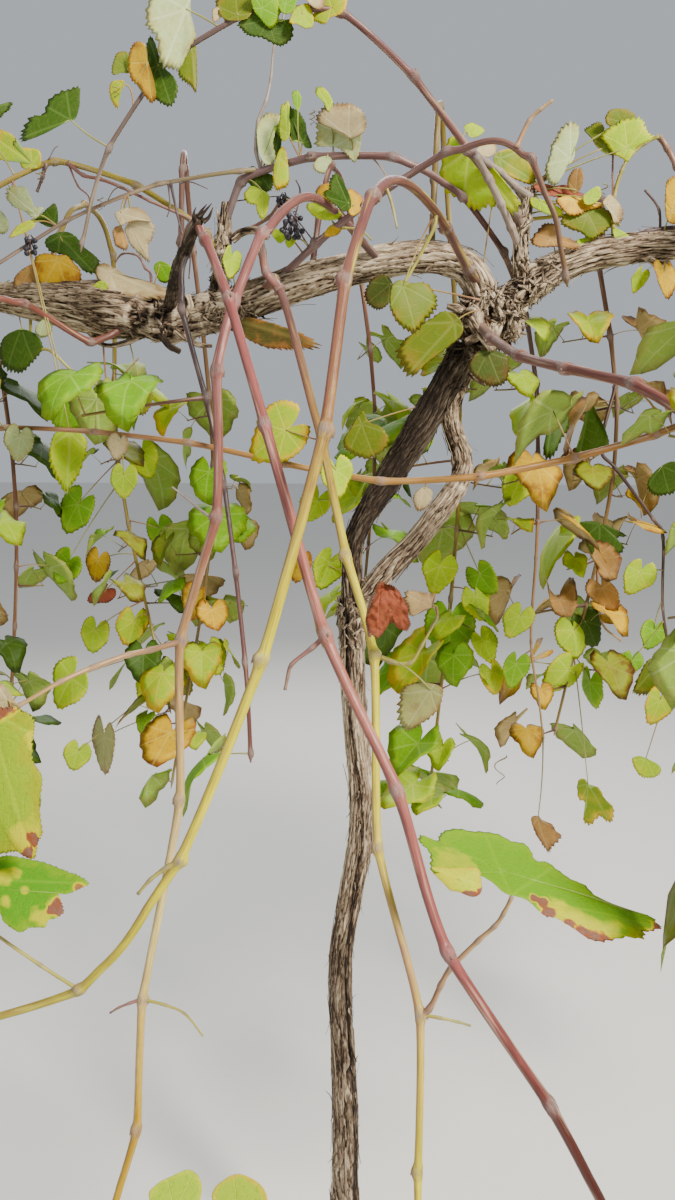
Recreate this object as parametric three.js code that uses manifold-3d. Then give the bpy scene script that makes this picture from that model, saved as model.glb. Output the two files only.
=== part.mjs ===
// Grapevine trained on a high cordon: a leaning trunk that forks into two stems, a knotted head, two
// arms of old wood, and long canes that arch over the arms and hang, with the leaves of early autumn.
// Millimetres, +Z up. The origin is the middle of the flat cut at ground level. X runs along the row
// and the canes in front hang towards -Y.
import * as THREE from 'three';
import { mergeVertices } from 'three/addons/utils/BufferGeometryUtils.js';
import Module from 'manifold-3d';

const wasm = await Module();
wasm.setup();

const gap = 0.35; // kept between neighbouring pieces
const armHeight = 1650; // the arms of old wood lie this high
const leftReach = -1010; // where the left arm ends along the row
const rightReach = 1150; // where the right arm ends
const flareHeight = 130; // of the root flare
const flareSize = 0.6; // how much wider than the trunk the flare is at the ground
const headCentre = new THREE.Vector3(188, 2, 1580);
const headSize = new THREE.Vector3(46, 40, 36); // half its width, depth and height
const jointSpacing = 105; // between the joints of a cane
const leafLength = 82; // from the leaf stalk to the tip, on average
const leafSpread = 0.3; // how far a leaf's size strays from the average
const leafThickness = 0.03; // of its length, at the middle
const stalkLength = 0.75; // of the leaf's length
const stalkRadius = 1.7;
const lowestLeaf = 60; // nothing leafy hangs lower than this
const shootShare = 0.4; // of the leafy joints, those that carry a side shoot too
const mostShoots = 2; // on one stem
const shootRadius = 2.4;
const stemStep = 80; // between the rings of a leafy stem

// Old wood. Each piece follows way, with the radii spaced evenly from its start to its end, and its
// foot is cut to fit the pieces it grows on.
const oldWood = {
  trunk: {
    way: [[0, 0, 0], [0, 0, 120], [-2, -2, 400], [-8, -4, 640], [22, 0, 860], [12, 2, 1030], [6, 0, 1205]],
    radii: [23, 22, 20, 17, 17, 16, 19], lumps: 0.09, sides: 12, steps: 24, on: [],
  },
  stem_left: {
    way: [[6, 0, 1190], [10, 0, 1285], [52, 3, 1362], [105, 0, 1448], [160, 0, 1545]],
    radii: [14, 14, 18, 19, 20], lumps: 0.1, sides: 10, steps: 12, on: ['trunk'],
  },
  stem_right: {
    way: [[12, 4, 1192], [60, 4, 1246], [110, 16, 1302], [158, 44, 1380], [140, 66, 1462], [172, 40, 1552]],
    radii: [15, 16, 15, 14, 13, 14], lumps: 0.07, sides: 9, steps: 14, on: ['trunk', 'stem_left'],
  },
  arm_left_arch: {
    way: [[180, 0, 1592], [174, -2, 1622], [146, -4, 1652], [70, -8, 1658], [-65, -4, 1630],
      [-170, 0, 1598]],
    radii: [22, 20, 19, 20, 25, 24], lumps: 0.09, sides: 10, steps: 18, on: [],
  },
  arm_left_end: {
    way: [[-160, 0, 1600], [-240, 0, 1588], [-310, 0, 1600], [-480, 0, 1620], [-760, 4, armHeight - 18],
      [leftReach, -6, armHeight - 40]],
    radii: [24, 38, 16, 13, 14, 9], lumps: 0.12, sides: 9, steps: 20, on: ['arm_left_arch'],
  },
  arm_right: {
    way: [[205, -3, 1592], [236, 0, 1618], [275, 0, 1642], [345, 0, 1662], [520, 4, armHeight + 20],
      [820, -4, armHeight], [rightReach, 4, armHeight - 25]],
    radii: [20, 18, 16, 15, 15, 14, 9], lumps: 0.1, sides: 9, steps: 22, on: ['arm_left_arch'],
  },
  spur_left: {
    way: [[-176, 0, 1600], [-170, -12, 1650], [-158, -22, 1732]],
    radii: [13, 10, 6], lumps: 0.12, sides: 7, steps: 6, on: ['arm_left_arch', 'arm_left_end'],
  },
  spur_right: {
    way: [[232, 0, 1616], [226, -10, 1668], [236, -16, 1738]],
    radii: [11, 9, 6], lumps: 0.12, sides: 7, steps: 6, on: ['arm_right', 'arm_left_arch'],
  },
};

// Canes. Each grows on a piece of old wood, or from another cane, follows way and thins from thick to
// thin. It is a bare limb for the share bare of its length and a leafy mass past that. leafy is the
// share of its joints that keep a leaf. shoots are single side shoots, each with the foot, tip and
// facing of its leaves.
const canes = {
  red_front: {
    on: ['arm_left_end'], bare: 0.16, thick: 5.6, thin: 3.8, leafy: 0, seed: 11,
    way: [[-240, 0, 1604], [-190, -115, 1648], [-130, -222, 1660], [-35, -395, 1465], [40, -530, 1260],
      [105, -575, 1145], [145, -600, 1025], [265, -620, 850], [335, -640, 690]],
  },
  red_left: {
    on: ['arm_left_arch'], bare: 0.2, thick: 5.6, thin: 3.2, leafy: 0.1, seed: 12,
    way: [[50, -6, 1655], [-35, -140, 1708], [-95, -288, 1560], [-103, -325, 1400], [-138, -355, 1200],
      [-136, -385, 1040], [-160, -450, 845], [-172, -508, 690], [-215, -545, 560]],
    shoots: [{ to: [-264, -461, 1165],
      leaves: [[[-300, -475, 1150], [-322, -505, 1030], [0.3, -0.9, 0.2]],
        [[-258, -490, 1045], [-160, -515, 1000], [-0.1, -0.3, 0.95]]] }],
  },
  green_middle: {
    on: ['arm_left_arch'], bare: 0.14, thick: 5.4, thin: 3.0, leafy: 0.12, seed: 13,
    way: [[-115, -4, 1625], [-65, -135, 1575], [28, -300, 1325], [72, -365, 1205], [80, -440, 1035],
      [125, -505, 905], [127, -560, 740], [132, -590, 600]],
    shoots: [{ to: [127, -364, 1247], leaves: [[[96, -385, 1284], [84, -400, 1225], [0.2, -0.9, 0.3]]] },
      { to: [150, -508, 950], leaves: [[[200, -510, 1019], [282, -368, 1036], [0.05, -0.1, 1]]] }],
  },
  yellow_long: {
    on: ['arm_left_arch', 'head'], bare: 0.22, thick: 5.6, thin: 3.4, leafy: 0, seed: 14,
    way: [[185, 0, 1610], [130, -120, 1695], [66, -330, 1660], [33, -484, 1424], [-15, -524, 1235],
      [-92, -524, 1050], [-195, -508, 905], [-420, -485, 810]],
  },
  cross_arch: {
    on: ['arm_left_arch'], bare: 0.5, thick: 4.8, thin: 2.6, leafy: 0.6, seed: 15,
    way: [[-95, -5, 1635], [30, -112, 1698], [180, -190, 1746], [250, -182, 1675], [268, -170, 1590]],
  },
  left_arch: {
    on: ['spur_left'], bare: 0.3, thick: 4.8, thin: 2.6, leafy: 0.6, seed: 16,
    way: [[-163, -18, 1705], [-110, -45, 1765], [85, -85, 1755], [205, 20, 1670], [262, 125, 1520],
      [276, 150, 1290]],
  },
  sky_arch: {
    on: ['spur_right'], bare: 0.3, thick: 4.8, thin: 1.9, leafy: 0.95, seed: 17,
    way: [[229, -12, 1690], [170, -72, 1752], [15, -180, 1882], [-145, -215, 1848], [-250, -225, 1725],
      [-280, -222, 1630]],
  },
  right_red: {
    on: ['head'], bare: 0.45, thick: 6.2, thin: 3.6, leafy: 0.5, seed: 18,
    way: [[172, -6, 1575], [215, -215, 1510], [330, -445, 1446], [390, -515, 1320], [405, -555, 1060]],
  },
  sagging: {
    on: ['arm_right'], bare: 0.3, thick: 5.0, thin: 2.4, leafy: 0.15, seed: 19,
    way: [[700, 0, 1656], [600, -45, 1545], [410, -110, 1436], [105, -195, 1372], [-170, -197, 1418],
      [-405, -190, 1436], [-520, -190, 1400]],
  },
  left_red: {
    on: ['arm_left_end'], bare: 0.3, thick: 4.6, thin: 2.8, leafy: 0.6, seed: 20,
    way: [[-285, 0, 1594], [-340, -50, 1552], [-415, -170, 1596], [-500, -245, 1500], [-530, -275, 1260]],
  },
  yellow_left: {
    on: ['spur_left'], bare: 0.35, thick: 4.0, thin: 2.4, leafy: 0.7, seed: 21,
    way: [[-168, -14, 1662], [-215, -42, 1720], [-370, -90, 1770], [-500, -140, 1660], [-560, -170, 1480]],
  },
  thin_left: {
    on: ['limb_left_arch'], bare: 0, thick: 2.8, thin: 2.0, leafy: 0.9, seed: 22,
    way: [[-112, -44, 1764], [-180, -75, 1750], [-300, -110, 1712], [-450, -165, 1610]],
  },
  dark_thin: {
    on: ['limb_red_front'], bare: 0, thick: 3.2, thin: 2.2, leafy: 0.2, seed: 23,
    way: [[-160, -172, 1662], [-172, -205, 1590], [-125, -215, 1400], [-84, -275, 1160], [-76, -295, 1060]],
  },
};

// Shoots that follow one rule all along the arms, so that the crown is full from every side: how far
// along the row each starts, on which side it hangs, and how far down.
const frontShoots = [-900, -650, 580, 790, 1000];
const backShoots = [-960, -800, -620, -430, -230, -50, 110, 330, 520, 700, 880, 1060];
const shootRule = {
  rise: 70, riseSpread: 190, out: 110, outSpread: 130, hang: 420, hangSpread: 480, drift: 200,
  sway: 110, thick: 4.4, thin: 2.2, leafy: 0.55,
};
const firstShootSeed = 50;

const finishes = {
  bark: new THREE.MeshStandardMaterial({ color: '#75665a', roughness: 0.95, metalness: 0 }),
  redCane: new THREE.MeshStandardMaterial({ color: '#7c4038', roughness: 0.6, metalness: 0 }),
  leaf: new THREE.MeshStandardMaterial({ color: '#93a045', roughness: 0.7, metalness: 0 }),
};

const up = new THREE.Vector3(0, 0, 1);
const vine = new THREE.Group();
const sleeves = {}; // each limb a little larger, to cut its neighbours with
const taken = []; // places that stems and leaves already fill, as balls

// A number from 0 to 1 that looks random and is always the same for the same n.
function chance(n) {
  const wave = Math.sin(n * 127.1 + 311.7) * 43758.5453;
  return wave - Math.floor(wave);
}

// The smooth line through the points of way.
function route(way) {
  const points = way.map((point) => new THREE.Vector3(...point));
  return new THREE.CatmullRomCurve3(points, false, 'catmullrom', 0.5);
}

// The number or point at a share of a list whose entries are evenly spaced.
function along(list, share) {
  const place = Math.min(share, 1) * (list.length - 1);
  const before = Math.min(Math.floor(place), list.length - 2);
  const [low, high] = [list[before], list[before + 1]];
  const rest = place - before;
  return low.isVector3 ? low.clone().lerp(high, rest) : THREE.MathUtils.lerp(low, high, rest);
}

// A closed solid for manifold-3d, from corner points and triangles that face outwards.
function solid(points, faces) {
  const shape = new THREE.BufferGeometry();
  const numbers = points.flatMap((point) => point.toArray());
  shape.setAttribute('position', new THREE.Float32BufferAttribute(numbers, 3));
  shape.setIndex(faces.flat());
  return solidOf(shape);
}

function solidOf(geometry) {
  const shape = geometry.clone();
  shape.deleteAttribute('normal');
  shape.deleteAttribute('uv');
  const merged = mergeVertices(shape, 1e-4);
  const mesh = new wasm.Mesh({
    numProp: 3,
    vertProperties: new Float32Array(merged.getAttribute('position').array),
    triVerts: new Uint32Array(merged.getIndex().array),
  });
  return new wasm.Manifold(mesh);
}

// A tapering tube of rings from one share of a curve to another, closed by a flat fan at each end.
// radius gives its size at a share and an angle. grow makes it that much larger all over, and level
// rings lie flat in place of facing along the curve.
function tube({ curve, from = 0, to = 1, radius, sides, steps, grow = 0, level = false }) {
  const points = [];
  const faces = [];
  const start = level ? up : curve.getTangentAt(from);
  const across = Math.abs(start.x) > 0.9 ? new THREE.Vector3(0, 0, 1) : new THREE.Vector3(1, 0, 0);
  for (let ring = 0; ring <= steps; ring += 1) {
    const share = THREE.MathUtils.lerp(from, to, ring / steps);
    const ahead = level ? up : curve.getTangentAt(share);
    const centre = curve.getPointAt(share);
    if (ring === 0) centre.addScaledVector(ahead, -grow);
    if (ring === steps) centre.addScaledVector(ahead, grow);
    across.addScaledVector(ahead, -across.dot(ahead)).normalize();
    const other = new THREE.Vector3().crossVectors(ahead, across);
    for (let side = 0; side < sides; side += 1) {
      const angle = (2 * Math.PI * side) / sides;
      const reach = radius(share, angle) + grow;
      const point = centre.clone().addScaledVector(across, reach * Math.cos(angle));
      points.push(point.addScaledVector(other, reach * Math.sin(angle)));
    }
    if (ring === 0 || ring === steps) points.push(centre);
  }
  const ringStart = (ring) => (ring === 0 ? 0 : ring * sides + 1);
  for (let side = 0; side < sides; side += 1) {
    const next = (side + 1) % sides;
    faces.push([sides, next, side]);
    for (let ring = 0; ring < steps; ring += 1) {
      const here = ringStart(ring);
      const there = ringStart(ring + 1);
      faces.push([here + side, here + next, there + next], [here + side, there + next, there + side]);
    }
    const last = ringStart(steps);
    faces.push([last + sides, last + side, last + next]);
  }
  return solid(points, faces);
}

// Low swellings round old wood, as a factor near 1.
function swelling(share, angle, lumps, seed) {
  const twist = 0.6 * Math.sin(2 * angle + 9 * share + seed);
  const knots = 0.4 * Math.sin(3 * angle - 17 * share + 2 * seed);
  return 1 + lumps * (twist + knots);
}

// The root flare: wider towards the ground, with five low buttresses.
function flare(share, angle, length) {
  const height = share * length;
  const rest = Math.max(0, 1 - height / flareHeight) ** 2;
  return 1 + flareSize * rest * (0.8 + 0.2 * Math.cos(5 * angle + 0.7));
}

function remember(owner, curve, from, to, radius) {
  const length = curve.getLength();
  const count = Math.ceil((length * (to - from)) / 12);
  for (let i = 0; i <= count; i += 1) {
    const share = from + ((to - from) * i) / count;
    taken.push({ owner, place: curve.getPointAt(share), radius: radius(share, 0) });
  }
}

// Whether balls of the given radius at these places touch no other piece and no other leaf.
function isFree(owner, places, radius) {
  return places.every((place) => place.z > lowestLeaf && taken.every((other) => (
    other.owner === owner || other.place.distanceTo(place) > other.radius + radius + 2 * gap
  )));
}

// The largest body of a joined solid. Loose scraps are dropped and sealed hollows are filled.
function largest(joined) {
  const bodies = joined.decompose();
  return bodies.reduce((best, body) => (body.volume() > best.volume() ? body : best));
}

function cutBy(body, names) {
  return names.reduce((rest, name) => rest.subtract(sleeves[name]), body);
}

function addPiece(name, body, material) {
  const { vertProperties, triVerts } = largest(body).simplify(0.05).getMesh();
  const geometry = new THREE.BufferGeometry();
  geometry.setAttribute('position', new THREE.Float32BufferAttribute(vertProperties, 3));
  geometry.setIndex(Array.from(triVerts));
  const mesh = new THREE.Mesh(geometry, material);
  mesh.name = name;
  vine.add(mesh);
}

function makeOldWood(name, { way, radii, lumps, sides, steps, on }, seed) {
  const curve = route(way);
  const length = curve.getLength();
  const isTrunk = name === 'trunk';
  const radius = (share, angle) => (
    along(radii, share) * swelling(share, angle, lumps, seed) * (isTrunk ? flare(share, angle, length) : 1)
  );
  const shape = { curve, radius, sides, steps, level: isTrunk };
  sleeves[name] = tube({ ...shape, grow: gap });
  remember(name, curve, 0, 1, radius);
  addPiece(name, cutBy(tube(shape), on), finishes.bark);
}

// The knotted head where both stems and both arms meet, with a socket for each of them.
function makeHead() {
  const knot = (grow) => {
    const geometry = new THREE.IcosahedronGeometry(1, 2);
    const place = geometry.getAttribute('position');
    for (let i = 0; i < place.count; i += 1) {
      const point = new THREE.Vector3().fromBufferAttribute(place, i);
      const lump = 1 + 0.1 * Math.sin(4 * point.x + 3 * point.z) * Math.cos(5 * point.y + 1);
      point.multiplyScalar(lump).multiply(headSize.clone().addScalar(grow)).add(headCentre);
      place.setXYZ(i, point.x, point.y, point.z);
    }
    return solidOf(geometry);
  };
  sleeves.head = knot(gap);
  taken.push({ owner: 'head', place: headCentre, radius: headSize.x });
  const sockets = ['stem_left', 'stem_right', 'arm_left_arch', 'arm_right'];
  addPiece('head', cutBy(knot(0), sockets), finishes.bark);
}

// A leaf: a three-sided stalk that opens into a flat heart, with its edge thin and its middle thick.
// root is where the stalk leaves the cane, foot where it meets the blade, and face what the blade
// turns to the light.
function leafShape(root, foot, tip, face) {
  const lengthwise = tip.clone().sub(foot);
  const size = lengthwise.length();
  lengthwise.normalize();
  const crosswise = new THREE.Vector3().crossVectors(lengthwise, face).normalize();
  const outward = new THREE.Vector3().crossVectors(crosswise, lengthwise);
  const corner = (x, y, lift) => foot.clone().addScaledVector(crosswise, x * size)
    .addScaledVector(lengthwise, y * size).addScaledVector(outward, lift * size);
  const stalk = foot.clone().sub(root).normalize();
  const right = crosswise.clone().addScaledVector(stalk, -stalk.dot(crosswise)).normalize();
  const under = new THREE.Vector3().crossVectors(stalk, right);
  const ring = (centre) => [
    centre.clone().addScaledVector(right, -stalkRadius),
    centre.clone().addScaledVector(right, stalkRadius),
    centre.clone().addScaledVector(under, stalkRadius),
  ];
  const heart = [corner(0, 1, -0.12), corner(-0.56, 0.32, -0.1), corner(-0.42, -0.22, -0.06)];
  const otherHalf = [corner(0.42, -0.22, -0.06), corner(0.56, 0.32, -0.1)];
  const middles = [corner(0, 0.3, leafThickness / 2), corner(0, 0.3, -leafThickness / 2)];
  const points = [...ring(root), ...ring(foot), ...heart, ...otherHalf, ...middles];
  const [rootLeft, rootRight, rootUnder, left, rightSide, below] = points.keys();
  const [top, bottom] = [11, 12];
  const rim = [6, 7, 8, left, rightSide, 9, 10]; // the heart's corners and the stalk's two sides
  const afterIt = (i) => rim[(i + 1) % rim.length];
  const upper = rim.map((here, i) => [top, here, afterIt(i)]);
  const lower = rim.map((here, i) => [bottom, afterIt(i), here]).filter((face3, i) => rim[i] !== left);
  const collar = [[bottom, below, left], [bottom, rightSide, below]];
  const sides = [[rightSide, left, rootLeft], [rightSide, rootLeft, rootRight], [left, below, rootUnder],
    [left, rootUnder, rootLeft], [below, rightSide, rootRight], [below, rootRight, rootUnder]];
  return solid(points, [...upper, ...lower, ...collar, ...sides, [rootRight, rootLeft, rootUnder]]);
}

// The places of a blade that are kept clear of other pieces.
function bladeSpots(foot, tip, face) {
  const size = tip.distanceTo(foot);
  const lengthwise = tip.clone().sub(foot).normalize();
  const crosswise = new THREE.Vector3().crossVectors(lengthwise, face).normalize();
  const spots = [[0, 0.05], [-0.36, 0], [0.36, 0], [-0.38, 0.36], [0.38, 0.36], [0, 0.4], [0, 0.82]];
  return spots.map(([x, y]) => (
    foot.clone().addScaledVector(crosswise, x * size).addScaledVector(lengthwise, y * size)
  ));
}

// A straight three-sided twig.
function twig(start, end, thick, thin) {
  const curve = new THREE.LineCurve3(start, end);
  return tube({ curve, radius: (share) => THREE.MathUtils.lerp(thick, thin, share), sides: 3, steps: 1 });
}

// A leaf on its stalk, or nothing where it would touch another piece.
function leaf(owner, root, foot, tip, face) {
  const size = tip.distanceTo(foot);
  const spots = bladeSpots(foot, tip, face);
  const stalk = [0.35, 0.7, 1].map((share) => root.clone().lerp(foot, share));
  if (!isFree(owner, spots, 0.17 * size) || !isFree(owner, stalk, 2 * stalkRadius)) return [];
  spots.forEach((place) => taken.push({ owner: `${owner} blade`, place, radius: 0.12 * size }));
  stalk.slice(1).forEach((place) => taken.push({ owner: `${owner} stalk`, place, radius: stalkRadius }));
  return [leafShape(root, foot, tip, face)];
}

// A leaf that leaves a joint sideways, with its blade hanging from the stalk and facing outwards.
// heading is the direction, seen from above, that the leaves of a cane keep to on its two sides. The
// leaf is tried at three turns round the cane.
function jointLeaf(owner, root, ahead, heading, seed) {
  for (let turn = 0; turn < 3; turn += 1) {
    const mood = seed + 31 * turn;
    const angle = heading + Math.PI * (0.35 * (chance(mood) - 0.5) + 0.3 * turn);
    const way = new THREE.Vector3(Math.cos(angle), Math.sin(angle), 0);
    way.addScaledVector(ahead, -way.dot(ahead)).normalize().multiplyScalar(0.85);
    way.addScaledVector(ahead, 0.25).addScaledVector(up, 0.7 - 0.5 * Math.abs(ahead.z)).normalize();
    const size = leafLength * (1 + 2 * leafSpread * (chance(mood + 1) - 0.5));
    const foot = root.clone().addScaledVector(way, stalkLength * size);
    const droop = way.clone().multiplyScalar(0.5 + 0.5 * chance(mood + 2)).addScaledVector(up, -0.9);
    droop.normalize();
    const face = way.clone().setZ(0.45).normalize();
    const made = leaf(owner, root, foot, foot.clone().addScaledVector(droop, size), face);
    if (made.length > 0) return made;
  }
  return [];
}

// A side shoot with a leaf at its end and one half way, or nothing where it would touch another piece.
function sideShoot(owner, root, ahead, seed) {
  const heading = 2 * Math.PI * chance(seed + 0.25);
  const way = new THREE.Vector3(Math.cos(heading), Math.sin(heading), 0.35);
  way.addScaledVector(ahead, 0.5).normalize();
  const end = root.clone().addScaledVector(way, 90 + 70 * chance(seed + 0.75));
  const spots = [0.3, 0.5, 0.75, 1].map((share) => root.clone().lerp(end, share));
  if (!isFree(owner, spots, 8)) return [];
  spots.forEach((place) => taken.push({ owner, place, radius: 3 }));
  const leaves = [...jointLeaf(owner, root.clone().lerp(end, 0.97), way, heading, seed + 7),
    ...jointLeaf(owner, root.clone().lerp(end, 0.5), way, heading + Math.PI / 2, seed + 13)];
  return [twig(root, end, shootRadius, stalkRadius), ...leaves];
}

// One mass: a leafy stem from a share of its curve to the tip, with a leaf to the left and to the right
// of it in turn, and some on side shoots, all joined to one body.
function makeMass(name, curve, { from, radius, leafy, seed, sides = 4, shoots = [], on = [] }) {
  const length = curve.getLength();
  const start = from > 0 ? from + gap / length : 0;
  const steps = Math.max(5, Math.round((length * (1 - start)) / stemStep));
  const shares = Array.from({ length: steps + 1 }, (_, i) => THREE.MathUtils.lerp(start, 1, i / steps));
  const rings = shares.map((share) => curve.getPointAt(share));
  const middleAt = (share) => along(rings, (share - start) / (1 - start));
  const solids = [cutBy(tube({ curve, from: start, radius, sides, steps }), on)];
  shoots.forEach(({ to, leaves }) => {
    const end = new THREE.Vector3(...to);
    const stem = nearest(rings.slice(1), end);
    solids.push(twig(stem, end, shootRadius, shootRadius));
    const root = stem.clone().lerp(end, 0.96);
    leaves.forEach((places) => {
      const [foot, tip, face] = places.map((place) => new THREE.Vector3(...place));
      solids.push(...leaf(name, root, foot, tip, face));
    });
  });
  const joints = Math.floor((length * (1 - start)) / jointSpacing);
  let shootsMade = 0;
  for (let joint = 1; joint <= joints; joint += 1) {
    const share = start + ((1 - start) * joint) / (joints + 0.1);
    const mood = 100 * seed + joint;
    const root = middleAt(share);
    const ahead = curve.getTangentAt(share);
    const heading = Math.PI * (chance(seed) + joint);
    if (chance(mood) < leafy || joint === joints) {
      solids.push(...jointLeaf(name, root, ahead, heading, mood));
    }
    if (shootsMade < mostShoots && chance(mood + 0.5) < shootShare * leafy) {
      solids.push(...sideShoot(name, root, ahead, mood));
      shootsMade += 1;
    }
  }
  addPiece(name, wasm.Manifold.union(solids), finishes.leaf);
}

// The one of some points that is nearest to a place.
function nearest(points, place) {
  return points.reduce((best, point) => (point.distanceTo(place) < best.distanceTo(place) ? point : best));
}

// The radius at a share of a cane that thins evenly.
function thinning({ thick, thin }) {
  return (share) => THREE.MathUtils.lerp(thick, thin, share);
}

function makeLimb(name, { way, thick, thin, bare, on }) {
  const shape = { curve: route(way), to: bare, radius: thinning({ thick, thin }), sides: 6, steps: 7 };
  sleeves[name] = tube({ ...shape, grow: gap });
  remember(name, shape.curve, 0, bare, shape.radius);
  addPiece(name, cutBy(tube(shape), on), finishes.redCane);
}

// The line of a shoot that rises from an arm at x, arches out to one side, sways and hangs.
function shootWay(x, side, seed) {
  const isMiddle = x > oldWood.arm_left_arch.way[5][0] && x < headCentre.x;
  const arm = isMiddle ? 'arm_left_arch' : (x < 0 ? 'arm_left_end' : 'arm_right');
  const points = route(oldWood[arm].way).getSpacedPoints(200);
  const root = points.reduce((best, p) => (Math.abs(p.x - x) < Math.abs(best.x - x) ? p : best));
  const rise = shootRule.rise + shootRule.riseSpread * chance(seed);
  const out = side * (shootRule.out + shootRule.outSpread * chance(seed + 1));
  const hang = shootRule.hang + shootRule.hangSpread * chance(seed + 2);
  const drift = shootRule.drift * (chance(seed + 3) - 0.5);
  const sway = shootRule.sway * (chance(seed + 4) - 0.5);
  return [root.toArray(), [root.x + 0.2 * drift, 0.45 * out, root.z + rise],
    [root.x + 0.5 * drift, out, root.z + 0.75 * rise],
    [root.x + 0.8 * drift + sway, 1.25 * out, root.z - 0.35 * hang],
    [root.x + drift - sway, 1.2 * out, root.z - hang]];
}

Object.entries(oldWood).forEach(([name, spec], i) => makeOldWood(name, spec, i + 1));
makeHead();

// Every stem takes its place before the first leaf grows, so that no leaf grows through one.
Object.entries(canes).forEach(([name, spec]) => {
  if (spec.bare > 0) makeLimb(`limb_${name}`, spec);
  remember(`leaves_${name}`, route(spec.way), spec.bare, 1, thinning(spec));
});
const starts = [...frontShoots.map((x) => [x, -1]), ...backShoots.map((x) => [x, 1])];
const shootCurves = starts.map(([x, side], i) => {
  const curve = route(shootWay(x, side, firstShootSeed + i));
  const name = `leaves_${side < 0 ? 'front' : 'back'}_${i + 1}`;
  remember(name, curve, 0, 1, thinning(shootRule));
  return [name, curve];
});

Object.entries(canes).forEach(([name, spec]) => {
  const on = spec.bare > 0 ? [] : spec.on;
  makeMass(`leaves_${name}`, route(spec.way), { ...spec, from: spec.bare, radius: thinning(spec), on });
});
shootCurves.forEach(([name, curve], i) => {
  const on = ['arm_left_arch', 'arm_left_end', 'arm_right'];
  const seed = firstShootSeed + i;
  makeMass(name, curve, { ...shootRule, from: 0, radius: thinning(shootRule), sides: 3, seed, on });
});

export default vine;
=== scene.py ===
# A grapevine on a high cordon in early autumn: a leaning trunk with two stems, a knotted head, two
# arms of old wood, and canes that arch over the arms and hang, with the leaves that are left.
# Sizes in this script are in millimetres, and meshes are made in metres in the frame of the model.
import bpy
import numpy as np
from mathutils import Matrix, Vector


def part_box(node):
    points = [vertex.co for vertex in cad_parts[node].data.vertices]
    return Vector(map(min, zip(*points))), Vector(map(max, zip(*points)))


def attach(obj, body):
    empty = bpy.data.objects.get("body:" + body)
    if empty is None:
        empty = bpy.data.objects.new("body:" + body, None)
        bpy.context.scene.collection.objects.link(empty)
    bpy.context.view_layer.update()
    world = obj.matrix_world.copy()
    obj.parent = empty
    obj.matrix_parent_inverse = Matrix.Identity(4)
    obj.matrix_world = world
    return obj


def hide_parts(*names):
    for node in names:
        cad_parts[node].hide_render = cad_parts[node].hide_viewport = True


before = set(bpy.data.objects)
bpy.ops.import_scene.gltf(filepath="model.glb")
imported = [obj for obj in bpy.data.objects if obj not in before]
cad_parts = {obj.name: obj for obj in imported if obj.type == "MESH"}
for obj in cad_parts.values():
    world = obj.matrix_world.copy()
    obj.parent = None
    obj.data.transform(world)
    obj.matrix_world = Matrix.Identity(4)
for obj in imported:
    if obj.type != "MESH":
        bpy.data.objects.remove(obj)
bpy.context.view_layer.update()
mm = 0.001
up = np.array([0.0, 0.0, 1.0])

# Camera: it stands in front of the trunk, a little to the right, and looks slightly down. A pixel of
# the 675 by 1200 photograph is turned into a point of the model by spot() below.
view = dict(centre=(337.5, 600), focal=900, tall=1200, place=(140, -1250, 1406), yaw=7, pitch=9.3)
yaw, pitch = np.radians(view["yaw"]), np.radians(view["pitch"])
eye = np.array(view["place"], float)
gaze = np.array([-np.sin(yaw) * np.cos(pitch), np.cos(yaw) * np.cos(pitch), -np.sin(pitch)])
rightward = np.array([np.cos(yaw), np.sin(yaw), 0])
upward = np.cross(rightward, gaze)


def sight(pixel):  # the line of sight through a pixel, one millimetre deep
    aside = (np.array(pixel) - view["centre"]) / view["focal"]
    return gaze + rightward * aside[..., :1] - upward * aside[..., 1:]


def spot(pixel, depth):  # where the line of sight through a pixel meets the plane y = depth
    line = sight(pixel)
    return eye + line * ((depth - eye[1]) / line[..., 1])[..., None]


def seen(points):  # the pixels that points fall on
    away = points - eye
    deep = away @ gaze
    flat = np.stack([away @ rightward, -(away @ upward)], -1) / deep[..., None]
    return flat * view["focal"] + view["centre"]


def makeCamera():
    lens = bpy.data.cameras.new("camera")
    lens.sensor_width = 36
    lens.lens = lens.sensor_width * view["focal"] / view["tall"]
    camera = bpy.data.objects.new("camera", lens)
    axes = Matrix([rightward, upward, -gaze]).transposed()
    camera.matrix_world = Matrix.Translation(eye * mm) @ axes.to_4x4()
    bpy.context.scene.collection.objects.link(camera)
    bpy.context.scene.camera = camera


makeCamera()
print("camera made")


# Numbers that look random. A fraction of a large sine, always the same for the same n.
def chance(n):
    wave = np.sin(np.asarray(n) * 127.1 + 311.7) * 43758.5453
    return wave - np.floor(wave)


def smooth(x):  # 0 below 0, 1 above 1, and an even slope between
    x = np.clip(x, 0, 1)
    return x * x * (3 - 2 * x)


def unit(v):
    return v / np.maximum(np.linalg.norm(v, axis=-1, keepdims=True), 1e-9)


# Random heights at the corners of square cells, smoothly joined, from -1 to 1. The pattern meets
# itself after a number of cells in x.
def ripple(x, y, cells, seed):
    i, j = np.floor(x), np.floor(y)
    u, v = smooth(x - i), smooth(y - j)

    def corner(a, b):
        return chance(np.mod(i + a, cells) * 1.37 + (j + b) * 5.91 + seed * 3.17)

    low = corner(0, 0) * (1 - u) + corner(1, 0) * u
    high = corner(0, 1) * (1 - u) + corner(1, 1) * u
    return 2 * (low * (1 - v) + high * v) - 1


def lumps(points, cell, seed):  # the same in space, from three crossed layers
    x, y, z = np.moveaxis(points / cell, -1, 0)
    far = 997
    return (ripple(x + 31, y + z * 0.7, far, seed) + ripple(y + 57, z - x * 0.6, far, seed + 1)
            + ripple(z + 83, x + y * 0.8, far, seed + 2)) / 2


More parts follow.
